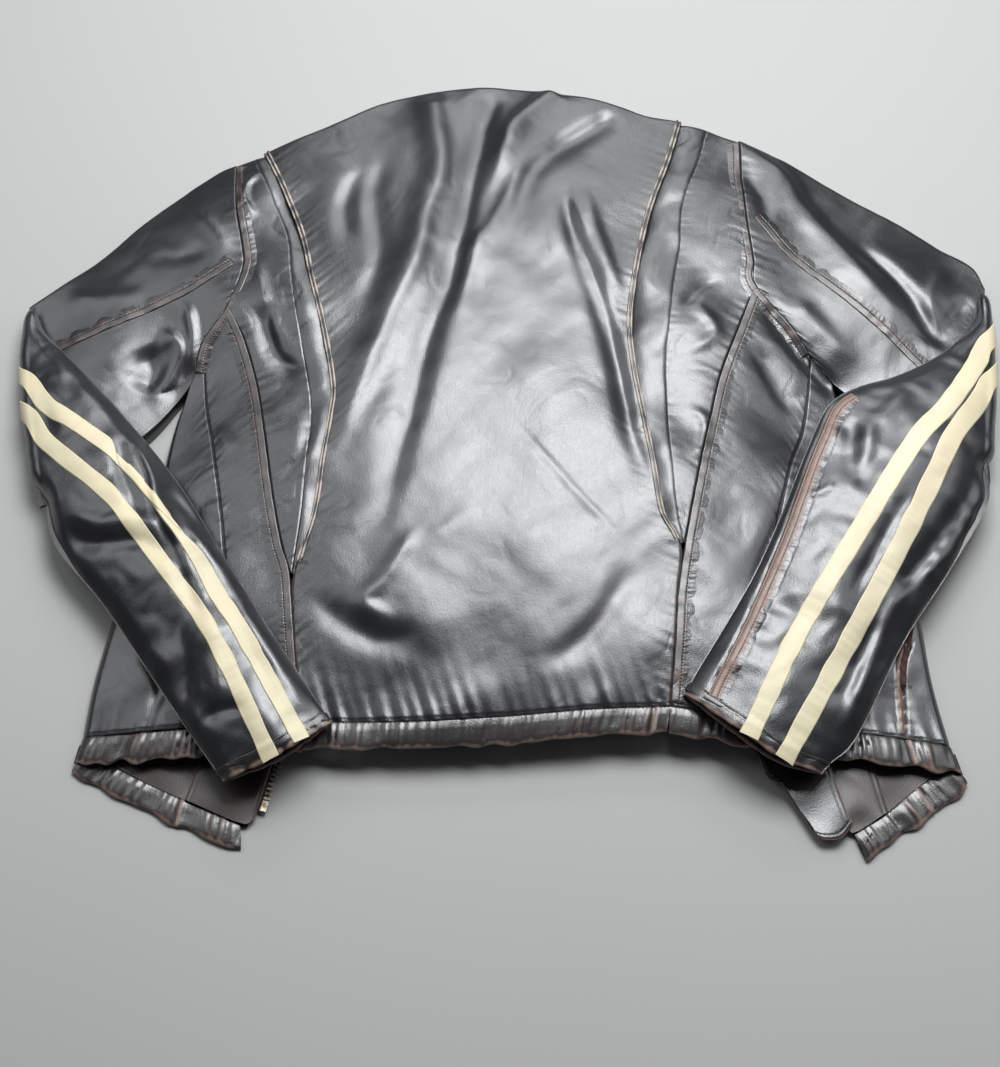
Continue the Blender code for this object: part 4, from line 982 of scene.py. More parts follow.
class Wire:
    """A shader socket on which arithmetic adds Math nodes."""

    def __init__(self, board: "Board", socket: Any) -> None:
        """Wraps an output socket."""
        self.board, self.socket = board, socket

    def math(self, operation: str, *values: Any) -> "Wire":
        """Joins this socket and others, or numbers, through one Math node."""
        return self.board.add("ShaderNodeMath", {"operation": operation}, dict(enumerate(values)))

    def __add__(self, other: Any) -> "Wire":
        """self + other."""
        return self.math("ADD", self, other)

    def __radd__(self, other: Any) -> "Wire":
        """other + self."""
        return self.math("ADD", other, self)

    def __sub__(self, other: Any) -> "Wire":
        """self - other."""
        return self.math("SUBTRACT", self, other)

    def __rsub__(self, other: Any) -> "Wire":
        """other - self."""
        return self.math("SUBTRACT", other, self)

    def __mul__(self, other: Any) -> "Wire":
        """self * other."""
        return self.math("MULTIPLY", self, other)

    def __rmul__(self, other: Any) -> "Wire":
        """other * self."""
        return self.math("MULTIPLY", other, self)

    def clamped(self, low: float = 0.0, high: float = 1.0) -> "Wire":
        """Kept between two numbers."""
        return self.math("MAXIMUM", self.math("MINIMUM", self, high), low)

    def step(self, low: float, high: float) -> "Wire":
        """A soft step from 0 at low to 1 at high."""
        return self.board.add("ShaderNodeMapRange", {"interpolation_type": "SMOOTHSTEP"},
                              {"Value": self, "From Min": low, "From Max": high})


class Board:
    """A material's node tree, and the one way in which its nodes are added."""

    def __init__(self, name: str) -> None:
        """Starts a material that holds its shader and output."""
        self.material = bpy.data.materials.new(name)
        self.material.use_nodes = True
        self.tree = self.material.node_tree
        self.shader = self.tree.nodes["Principled BSDF"]

    def add(self, kind: str, settings: dict[str, Any], values: dict[Any, Any], output: Any = 0) -> Wire:
        """Adds a node.

        Args:
            kind: Its type.
            settings: Its own settings, set first.
            values: Numbers, colours or wires for its inputs, by name or place.
            output: The output to return.

        Returns:
            The wrapped output.
        """
        node = self.tree.nodes.new(kind)
        for key, value in settings.items():
            setattr(node, key, value)
        for key, value in values.items():
            self.join(value, node.inputs[key])
        return Wire(self, node.outputs[output])

    def join(self, value: Any, socket: Any) -> None:
        """Links a wire to a socket, or sets its value."""
        if isinstance(value, Wire):
            self.tree.links.new(value.socket, socket)
        elif isinstance(value, tuple) and len(value) == 3 and socket.type == "RGBA":
            socket.default_value = (*value, 1.0)
        else:
            socket.default_value = value

    def set(self, **values: Any) -> None:
        """Sets or links the shader's inputs, spaces written as underscores."""
        for key, value in values.items():
            self.join(value, self.shader.inputs[key.replace("_", " ")])

    def spot(self) -> Wire:
        """Object coordinates."""
        return self.add("ShaderNodeTexCoord", {}, {}, "Object")

    def noise(self, spot: Wire, scale: float, detail: float = 2.0, rough: float = 0.5,
              warp: float = 0.0) -> Wire:
        """Smooth noise, 0 to 1."""
        return self.add("ShaderNodeTexNoise", {}, {"Vector": spot, "Scale": scale, "Detail": detail,
                                                   "Roughness": rough, "Distortion": warp}, "Fac")

    def cells(self, spot: Wire, scale: float, feature: str = "DISTANCE_TO_EDGE") -> Wire:
        """Distance to the edges of small cells."""
        return self.add("ShaderNodeTexVoronoi", {"feature": feature}, {"Vector": spot, "Scale": scale},
                        "Distance")

    def mix(self, share: Any, first: Any, second: Any) -> Wire:
        """A colour between two colours."""
        node = self.tree.nodes.new("ShaderNodeMix")
        node.data_type = "RGBA"
        self.join(share, node.inputs["Factor"])
        self.join(first, node.inputs[6])
        self.join(second, node.inputs[7])
        return Wire(self, node.outputs[2])

    def stretch(self, spot: Wire, scale: tuple[float, float, float]) -> Wire:
        """Coordinates stretched along their axes."""
        return self.add("ShaderNodeMapping", {}, {"Vector": spot, "Scale": scale})

    def bump(self, height: Wire, distance: float, strength: float = 1.0, normal: Wire | None = None) -> Wire:
        """A bumped normal."""
        values = {"Height": height, "Distance": distance, "Strength": strength}
        if normal:
            values["Normal"] = normal
        return self.add("ShaderNodeBump", {}, values)


@dataclass(frozen=True)
class Leather:
    """Pigmented leather with grain, creases, and wear at what the wear attribute marks, which on the hem
    bands also holds a painted highlight on the gathers' ridges.
    """

    name: str
    dark: tuple[float, float, float] = (0.0035, 0.0037, 0.0045)
    light: tuple[float, float, float] = (0.013, 0.0135, 0.016)
    worn: tuple[float, float, float] = (0.20, 0.115, 0.085)
    rough: float = 0.325
    grain: float = 0.00012
    wear: float = 1.0
    specular: float = 0.80
    coat: float = 0.18

    def make(self) -> bpy.types.Material:
        """Builds the material."""
        board = Board(self.name)
        spot = board.spot()
        patches = board.noise(spot, 9.0, 3.0, 0.6)
        fine = board.noise(spot, 330.0, 3.0, 0.6)
        grain = board.cells(spot, 620.0)
        lines = board.cells(board.stretch(spot, (1.0, 0.55, 1.0)), 95.0)
        marks = board.noise(spot, 70.0, 4.0, 0.65)
        attribute = board.add("ShaderNodeAttribute", {"attribute_name": "wear"}, {}, "Fac")
        uneven = (marks - 0.52) * 0.50 * attribute.step(0.02, 0.3)
        # The mix towards the worn colour: wear, and on the hem bands also a painted highlight on the gathers'
        # ridges.
        rubbed_and_sheen = (attribute * self.wear + uneven).step(0.24, 0.72)
        base = board.mix((patches * 1.3 - 0.15).clamped(), self.dark, self.light)
        brown = board.mix((fine * 1.6 - 0.3).clamped(), tuple(0.45 * part for part in self.worn), self.worn)
        rough = self.rough + (patches - 0.5) * 0.08 + (marks - 0.5) * 0.04 + rubbed_and_sheen * 0.22
        board.set(Base_Color=board.mix(rubbed_and_sheen, base, brown), Roughness=rough.clamped(0.2, 0.9),
                  Specular_IOR_Level=self.specular, Coat_Weight=self.coat, Coat_Roughness=0.27)
        soft = board.bump(board.noise(spot, 42.0, 3.0, 0.55, 0.4), 0.0016, 0.06)
        creased = board.bump(lines.step(0.0, 0.10), 0.0003, 0.06, soft)
        board.set(Normal=board.bump(grain.step(0.0, 0.35) + fine * 0.8, self.grain, 0.46, creased))
        return board.material


@dataclass(frozen=True)
class Cloth:
    """A woven cloth, with fine twill ribs."""

    name: str
    dark: tuple[float, float, float]
    light: tuple[float, float, float]
    pitch: float = 0.0009
    rough: float = 0.85

    def make(self) -> bpy.types.Material:
        """Builds the material."""
        board = Board(self.name)
        spot = board.spot()
        scale = 1 / (self.pitch * 20)
        ribs = board.add("ShaderNodeTexWave", {"wave_type": "BANDS", "bands_direction": "DIAGONAL"},
                         {"Vector": spot, "Scale": scale, "Distortion": 0.6}, "Fac")
        slubs = board.noise(board.stretch(spot, (1.0, 0.15, 1.0)), 420.0, 3.0)
        board.set(Base_Color=board.mix((ribs * 0.5 + slubs * 0.6 - 0.1).clamped(), self.dark, self.light),
                  Roughness=(self.rough - slubs * 0.12).clamped(0.3, 1.0), Specular_IOR_Level=0.3,
                  Normal=board.bump(ribs * 0.7 + slubs * 0.5, 0.0004, 0.6))
        return board.material


@dataclass(frozen=True)
class Metal:
    """Aged zip metal, darker where it is dull."""

    name: str
    bright: tuple[float, float, float] = (0.62, 0.55, 0.44)
    dull: tuple[float, float, float] = (0.22, 0.17, 0.12)

    def make(self) -> bpy.types.Material:
        """Builds the material."""
        board = Board(self.name)
        spot = board.spot()
        stain = board.noise(spot, 240.0, 4.0, 0.6)
        scratches = board.noise(board.stretch(spot, (1.0, 9.0, 1.0)), 500.0, 2.0)
        board.set(Base_Color=board.mix(stain.step(0.38, 0.66), self.bright, self.dull), Metallic=0.95,
                  Roughness=(0.26 + stain * 0.30 + scratches * 0.08).clamped(0.2, 0.8),
                  Normal=board.bump(scratches + stain * 0.5, 0.00008, 0.5))
        return board.material


class Finish(Enum):
    """The finishes, each with the name of the record's slot beside the recipe of its material."""

    BLACK = ("leather_black", Leather("jacket_leather"))
    # Hem leather: a lighter, browner copy of the black leather. Its tone is partly the leather's own brown
    # tint and partly painted sheen. Its pinker worn colour is the edge wear and also the painted highlight on
    # the gathers.
    HEM = ("leather_black", Leather("hem_leather", light=(0.032, 0.025, 0.024), worn=(0.24, 0.155, 0.125),
                                    wear=0.85, rough=0.31))
    PIPING = ("piping_tan", Leather("piping_leather", dark=(0.02, 0.018, 0.017), light=(0.07, 0.062, 0.056),
                                    worn=(0.46, 0.385, 0.32), wear=0.70,
                                      rough=0.30))
    CREAM = ("stripe_cream", Leather("stripe_leather", dark=(0.50, 0.44, 0.29), light=(0.62, 0.565, 0.40),
                                     worn=(0.30, 0.21, 0.13), wear=1.0, rough=0.45, specular=0.35, coat=0.0))
    LINING = ("lining_brown", Cloth("lining_twill", (0.020, 0.009, 0.008), (0.075, 0.032, 0.026)))
    FACING = ("lining_brown", Leather("facing_leather", dark=(0.014, 0.0085, 0.008),
                                      light=(0.036, 0.023, 0.021),
                                      wear=0.9, rough=0.42, specular=0.55, coat=0.05))
    TAPE = ("tape_black", Cloth("zip_tape_weave", (0.008, 0.008, 0.009), (0.035, 0.035, 0.037), 0.0007))
    METAL = ("zip_metal", Metal("zip_brass"))
    THREAD = ("leather_black", Cloth("black_thread", (0.006, 0.006, 0.006), (0.03, 0.028, 0.027), 0.0005,
                                     0.6))
    CREAM_THREAD = ("stripe_cream", Cloth("cream_thread", (0.34, 0.27, 0.16), (0.60, 0.50, 0.34), 0.0005,
                                          0.7))

    def material(self) -> bpy.types.Material:
        """The material, made once."""
        recipe = self.value[1]
        return bpy.data.materials.get(recipe.name) or recipe.make()


class Held(Enum):
    LAID = "laid"
    FOLDED = "folded"
    GATHERED = "gathered"


def dress(piece: bpy.types.Object, finish: Finish, body: str | None, nodes: Sequence[str] = (),
          cut: tuple[float, float, float] | None = None) -> bpy.types.Object:
    """Gives a piece its finish and body, and hides the CAD nodes that it stands for.

    Args:
        piece: The piece.
        finish: Its finish.
        body: The body that it rides on, or None where it is left unattached.
        nodes: The CAD nodes that it stands for.
        cut: Flat width, length and area where it is a sheet; not used.

    Returns:
        The piece.
    """
    piece.data.materials.clear()
    piece.data.materials.append(finish.material())
    if body:
        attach(piece, body)
    if nodes:
        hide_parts(*nodes)
    LOG.info("%s: %d faces", piece.name, len(piece.data.polygons))
    return piece


# Folds of the upper layer over the back and the upper arms
TORSO_FOLDS = [
    Fold([(-76, 392), (-65, 292), (-77, 237), (-87, 175), (-107, 125), (-133, 44), (-153, -18), (-163, -71)],
         5.0, 11, 16, 0.05, 0.35),
    Fold([(-9, 392), (-28, 312), (-37, 254), (-46, 196), (-56, 149), (-72, 92), (-84, 23), (-97, -36),
          (-105, -79), (-120, -118), (-127, -156)], -4.6, 10, 15, 0.05, 0.4),
    Fold([(49, 392), (24, 365), (7, 341), (-5, 303), (-17, 251)], 4.6, 14, 9, 0.05, 0.4),
    Fold([(25, 321), (6, 265), (-15, 216), (-28, 198), (-36, 169), (-48, 95)], 2.6, 11, 8, 0.3),
    Fold([(110, 362), (35, 299), (14, 254), (18, 210)], -4.2, 15, 9, 0.1, 0.5),
    Fold([(60, 274), (57, 245), (68, 196), (82, 149), (95, 92), (105, 25), (109, -8), (118, -42), (127, -90)],
         -5.0, 7, 10, 0.2, 0.35),
    Fold([(76, 268), (77, 241), (91, 182), (108, 124)], 2.4, 7, 9, 0.3),
    Fold([(67, 268), (64, 241), (72, 182), (88, 124), (98, 70)], 2.6, 9, 6, 0.3),
    Fold([(0, 9), (50, -55), (103, -120)], -0.8, 3, 5, 0.3),
    Fold([(-77, -98), (-103, -147), (-122, -172), (-91, -192)], 2.6, 8, 9, 0.25),
    Fold([(-170, -163), (-112, -203), (-68, -198)], -3.0, 10, 12, 0.3),
    Fold([(112, -134), (67, -201), (21, -232)], -3.0, 11, 11, 0.3),
    Fold([(-134, 300), (-155, 250), (-150, 190)], -2.4, 11, 9, 0.35),
    Fold([(-105, 330), (-128, 262), (-120, 180), (-140, 110)], -2.2, 12, 10, 0.3),
    Fold([(-228, 139), (-213, 82), (-182, 60)], -4.2, 6, 11, 0.25),
    Fold([(-240, 190), (-222, 120), (-200, 84)], 2.2, 7, 7, 0.3),
    Fold([(-265, 14), (-244, -23)], 1.8, 8, 8, 0.4), Fold([(-271, -68), (-243, -88)], 1.8, 8, 7, 0.4),
    Fold([(-262, -127), (-232, -100)], -1.6, 7, 7, 0.4),
    Fold([(-315, -205), (-292, -235), (-300, -268)], -2.2, 8, 8, 0.3),
    Fold([(-205, -60), (-180, -20), (-176, 30)], -1.8, 6, 6, 0.3),
    Fold([(-238, 292), (-252, 276), (-254, 258), (-248, 244), (-238, 236)], 2.4, 4, 6, 0.25),
    Fold([(169, 134), (192, 100), (158, 72)], 2.0, 6, 7, 0.3),
    Fold([(205, 160), (180, 150), (160, 120)], -2.0, 6, 7, 0.3),
    Fold([(158, 20), (176, 8), (171, -22), (155, -30)], 1.8, 5, 5, 0.3),
    Fold([(224, 96), (245, 51), (262, 20)], -3.2, 12, 9, 0.3),
    Fold([(253, -51), (227, -111), (205, -160)], -2.2, 12, 8, 0.3),
    Fold([(240, -160), (262, -200), (258, -255)], 2.0, 10, 8, 0.35),
    Fold([(300, -190), (310, -240), (300, -280)], 1.8, 9, 7, 0.3),
    Fold([(-326, 113), (-308, 102), (-304, 87), (-311, 66), (-321, 50), (-303, 50)], 4.0, 6, 11, 0.2, 0.3),
    Fold([(-342, 96), (-330, 74), (-338, 48)], -4.5, 12, 14, 0.3),
    Fold([(-302, 146), (-293, 105), (-294, 66)], 3.2, 6, 6, 0.3),
    Fold([(-423, 150), (-383, 148), (-338, 150)], 2.0, 9, 9, 0.3),
    Fold([(-300, 246), (-276, 214), (-262, 196)], 1.8, 8, 8, 0.3),
    Fold([(-345, 196), (-312, 190), (-285, 205)], -2.0, 8, 9, 0.3),
    Fold([(212, 340), (266, 294), (284, 253), (318, 196), (350, 149), (375, 116), (394, 90)], 3.8, 10, 16,
         0.1, 0.3),
    Fold([(328, 212), (369, 167), (391, 127), (398, 96)], -4.2, 8, 9, 0.3, 0.15),
    Fold([(440, 155), (413, 123), (399, 92)], -3.0, 10, 8, 0.3, 0.2),
    Fold([(420, 190), (400, 150), (396, 120)], 2.2, 8, 8, 0.3),
    Fold([(238, 141), (260, 102), (293, 62), (310, 45)], -5.0, 9, 10, 0.15, 0.2),
    Fold([(262, 150), (290, 112), (322, 76)], 2.4, 10, 12, 0.3),
    Fold([(230, 300), (246, 262), (250, 225)], -2.2, 9, 9, 0.3),
]
SLEEVE_SEAMS = {
    Side.LEFT: [(-0.428, 0.088), (-0.419, 0.093), (-0.379, 0.109), (-0.329, 0.134), (-0.295, 0.152),
                (-0.255, 0.181)],
    Side.RIGHT: [(0.234, 0.236), (0.259, 0.199), (0.286, 0.170), (0.324, 0.134), (0.356, 0.102),
                 (0.385, 0.068)]}
FOREARM_FOLDS = {
    Side.LEFT: [
        Fold([(-386, -101), (-359, -116), (-318, -118), (-298, -129), (-282, -149)], -4.5, 7, 11, 0.2),
        Fold([(-392, -82), (-355, -100), (-312, -100), (-286, -122)], 2.6, 9, 7, 0.3),
        Fold([(-332, -8), (-327, -21), (-313, -50), (-300, -92), (-276, -128)], 4.6, 9, 3.6, 0.2),
        Fold([(-345, -10), (-336, -52), (-313, -104)], -2.6, 7, 7, 0.2),
        Fold([(-303, -100), (-287, -128), (-266, -172), (-251, -200)], -3.2, 5, 8, 0.25),
        Fold([(-279, -185), (-267, -240), (-265, -280)], -3.4, 9, 10, 0.3),
        Fold([(-256, -180), (-243, -232), (-236, -285)], 2.4, 8, 9, 0.3),
        Fold([(-255, -279), (-232, -271), (-209, -273)], -2.2, 5, 6, 0.3),
        Fold([(-405, 60), (-350, -2), (-300, -70)], 2.2, 10, 14, 0.3),
        Fold([(-283, -90), (-240, -150), (-196, -225), (-175, -258)], 2.8, 9, 8, 0.2),
        Fold([(-430, 80), (-420, 30), (-400, -20)], -1.8, 9, 9, 0.3),
        Fold([(-300, -60), (-268, -100), (-252, -128)], -1.8, 6, 7, 0.3)],
    Side.RIGHT: [
        Fold([(305, 10), (303, -30), (295, -70)], -2.4, 9, 9, 0.3),
        Fold([(334, -28), (316, -50), (300, -74)], -1.5, 8, 8, 0.3),
        Fold([(318, 8), (318, -22), (306, -52)], 1.5, 7, 8, 0.3),
        Fold([(258, -73), (270, -72), (286, -62)], 1.6, 4, 5, 0.3),
        Fold([(430, -30), (391, -88), (364, -122), (325, -177)], -3.6, 9, 9, 0.2),
        Fold([(385, -110), (367, -135), (326, -177), (293, -241), (279, -273), (262, -292)], 2.8, 6, 7, 0.2),
        Fold([(247, -165), (222, -201), (198, -221)], -1.8, 10, 10, 0.35),
        Fold([(315, -180), (291, -230), (268, -266)], -2.8, 7, 7, 0.25),
        Fold([(365, 40), (330, 0), (305, -35)], 1.8, 9, 12, 0.3),
        Fold([(355, -60), (320, -118), (285, -178)], -2.2, 5, 6, 0.2),
        Fold([(230, -130), (214, -180), (186, -228)], 1.2, 9, 9, 0.3)]}
FOREARM_SEAMS = {
    Side.LEFT: [],
    Side.RIGHT: [LappedSeam([(313, 38), (293, 21), (279, -8), (265, -39), (249, -79), (233, -118),
                             (198, -193),
                             (170, -245), (162, -262)], 1, ridge=0.2, width=13.0, groove=1.6, wear=0.5,
                             seed=21)]}


class UpperLayer:
    """The upper layer's outer face: its lay over what is under it, its folds and its unevenness."""

    def __init__(self) -> None:
        """Solves the lay and draws the unevenness."""
        self.lay = HeightField(BACK_POSTS)
        self.broad, self.middle, self.small = Crumple(3, 0.110), Crumple(5, 0.046), Crumple(8, 0.019)

    def height(self, crumple: float = 1.0, drop: float = 0.0,
               folds: Sequence[Fold] = tuple(TORSO_FOLDS)) -> Height:
        """The face as a height over the plan.

        Args:
            crumple: How uneven the leather is, 1 being common.
            drop: How far below the outer face this layer lies, in metres.
            folds: The folds that it takes.

        Returns:
            The height function.
        """
        def face(x: Array, y: Array) -> Array:
            """Heights over plan places."""
            z = self.lay(x, y) - drop
            for fold in folds:
                z = z + fold.relief(x, y)
            middle = self.middle(x, y)
            crease = -0.22 * np.exp(-(middle / 0.16) ** 2) * smooth(self.broad(y, x) + 0.2)
            uneven = 1.5 * self.broad(x, y) + 0.27 * middle + 0.06 * self.small(x, y) + crease
            return z + crumple * uneven * MM
        return face


UPPER = UpperLayer()


def shifted(points: Plan, dx: float = 0.0, dy: float = 0.0) -> list[tuple[float, float]]:
    """Plan points moved by the same amount."""
    return [(float(x) + dx, float(y) + dy) for x, y in points]


def strip_sides(middle: Plan, width: float) -> tuple[list[tuple[float, float]], list[tuple[float, float]]]:
    """The two long edges of an even strip about a plan curve."""
    curve, share = Curve(middle), np.linspace(0, 1, 9)
    return [[tuple(point) for point in curve.beside(share, np.full(9, half * width))] for half in (0.5, -0.5)]


def level(z: float, rise: float = 0.0, seed: int = 1, length: float = 0.05) -> Height:
    """A layer that lies about level, a little uneven."""
    uneven = Crumple(seed, length)
    return lambda x, y: z + rise * (1 + uneven(x, y))


def beside_chain(zip_line: Plan, share: float, distance: float) -> tuple[float, float]:
    """A plan point along a zip's chain, offset to the right of foot to head."""
    foot, head = np.array(zip_line[0]), np.array(zip_line[1])
    along = (head - foot) / np.linalg.norm(head - foot)
    return tuple(foot + (head - foot) * share + np.array([along[1], -along[0]]) * distance)


@dataclass
class Torso:
    """Back, bi-swing pleats, side panels and their piping and thread."""

    piping: float = 0.00115
    piping_gaps: tuple[float, float] = (0.8, 3.9)
    pleat_share: float = 0.765
    thread: Stitching = field(default_factory=Stitching)

    def add_panel(self, node: str, finish: Finish = Finish.BLACK, body: str = "torso", held: Held = Held.LAID,
                  rests: Sequence[str] = (), **cut: Any) -> Panel:
        """Builds one panel that stands for a CAD node, with the thread along its topstitched edges."""
        panel = Panel(name=f"{node}_cut", **cut)
        piece, size = panel.build()
        dress(piece, finish, body, [node], size)
        if finish is Finish.BLACK:
            for edge, style in panel.styles.items():
                for gap in style.stitches:
                    self.thread.add(*panel.stitch_line(edge, gap))
        return panel

    def build(self) -> None:
        """Makes every piece of the torso's upper layer."""
        common = UPPER.height(0.75)
        back = self.add_panel("back_panel", left=PLEAT_EDGE_LEFT[:-1] + LOWER_SEAM_LEFT,
                              head=NECK_AND_SHOULDERS,
                              right=PLEAT_EDGE_RIGHT[:-1] + LOWER_SEAM_RIGHT, foot=HEM_STITCH_BACK,
                              height=common,
                              rests=["back_lining_cut"], step=0.0025,
                              styles={"left": PLEATED, "right": PLEATED, "head": NECK_FOLD, "foot": HEMMED})
        for side, edge, seam, armhole, princess, lower, seam_side, outline, under, foot in (
                (Side.LEFT, PLEAT_EDGE_LEFT, GUSSET_SEAM_LEFT, ARMHOLE_LEFT, PRINCESS_LEFT, LOWER_SEAM_LEFT,
                 SIDE_SEAM_LEFT, OUTLINE_LEFT, UNDERARM_LEFT, HEM_STITCH_SIDE_LEFT[::-1]),
                (Side.RIGHT, PLEAT_EDGE_RIGHT, GUSSET_SEAM_RIGHT, ARMHOLE_RIGHT, PRINCESS_RIGHT,
                 LOWER_SEAM_RIGHT,
                 SIDE_SEAM_RIGHT, OUTLINE_RIGHT, UNDERARM_RIGHT, HEM_STITCH_SIDE_RIGHT)):
            tag, out = side.value, side.out
            tucked = shifted(edge, -0.009 * out)
            self.add_panel(f"pleat_gusset_{tag}", left=tucked, right=shifted(seam, 0.003 * out),
                           step=0.0022, held=Held.FOLDED,
                           height=UPPER.height(1.5),
                           styles={"left": TUCKED, "right": SUNK, "head": NECK_FOLD})
            self.add_panel(f"side_back_panel_{tag}", left=seam, right=armhole + princess[1:],
                           height=UPPER.height(1.15), step=0.0022,
                           styles={"left": FLAT, "right": JOINED, "head": NECK_FOLD})
            split = 2 if side is Side.LEFT else 3
            self.add_panel(f"side_panel_{tag}", left=princess + lower[1:], right=seam_side,
                           head=under[:split],
                           foot=foot[:2] if side is Side.RIGHT else [lower[-1], seam_side[-1]],
                           height=UPPER.height(0.9), step=0.0024,
                           styles={"left": TOPSTITCHED, "right": JOINED, "foot": HEMMED, "head": JOINED})
            seams = [] if side is Side.LEFT else [
                LappedSeam([(345, -196), (335, -216), (332, -235), (331, -258), (330, -284)], -1, ridge=1.5,
                           groove=3.0, wear=0.95, seed=41)]
            self.add_panel(f"underarm_panel_{tag}", left=seam_side, right=outline, head=under[split - 1:],
                           foot=[seam_side[-1], outline[-1]], height=UPPER.height(0.9), step=0.0022,
                           seams=seams,
                           styles={"left": JOINED, "right": SIDE_FOLD, "foot": HEMMED})
            self.lap(f"princess_lap_{tag}", princess + lower[1:], side.out, Lap())
            self.lap(f"armhole_lap_{tag}",
                     shifted(armhole[:1], 0.0, -0.007) + armhole[1:] + under[1:-1], -side.out,
                     Lap(rows=(6.4,), width=7.6, spread=12.0))
            self.pipe(back, tag, f"pleat_piping_{tag}")
        self.bar(0.3322, -0.2400)
        dress(self.thread.build("torso_thread"), Finish.THREAD, "torso")

    def lap(self, name: str, route: Plan, side: int, kind: Lap) -> None:
        """Lays a lap on the upper layer."""
        height = UPPER.height(0.8)
        piece, size = kind.make(
            name, route, side, lambda x, y, lift: np.stack([x, y, height(x, y) + lift], axis=-1),
            zlib.crc32(name.encode()) % 997, self.thread)
        dress(piece, Finish.BLACK, "torso", (), size)

    def pipe(self, back: Panel, edge: str, node: str) -> None:
        """Lays the two worn cords of a pleat's folded edge, closed by a bar of thread at its foot."""
        curve = back.curves[edge]
        for index, gap in enumerate(self.piping_gaps):
            share = np.linspace(0.004, self.pleat_share, 260)
            width = np.linalg.norm(back.plan(np.ones(260), share) - back.plan(np.zeros(260), share), axis=-1)
            u = gap * MM / width
            places, _ = back.surface(u if edge == "left" else 1 - u, share)
            places[:, 2] += 0.0006 if index else 0.0002
            cord = round_cord(f"{node}_cord_{index}", places, self.piping * (1.0 if index else 0.85))
            dress(cord, Finish.PIPING, "torso", [node] if index == 0 else [])
        foot = curve.at(np.array([self.pleat_share + 0.004]))[0]
        self.bar(foot[0] + (0.003 if edge == "left" else -0.003), foot[1])

    def bar(self, x: float, y: float) -> None:
        """Sews a short bar of thread across the end of an opening."""
        spots = x + np.linspace(-0.0066, 0.0066, 7)
        z = UPPER.height(0.8)(spots, np.full(7, y)) + 0.0011
        for row in (0.0, 0.0009, 0.0018):
            self.thread.add(np.column_stack([spots, np.full(7, y + row), z]),
                            np.tile([1.0, 0.0, 0.0], (7, 1)))


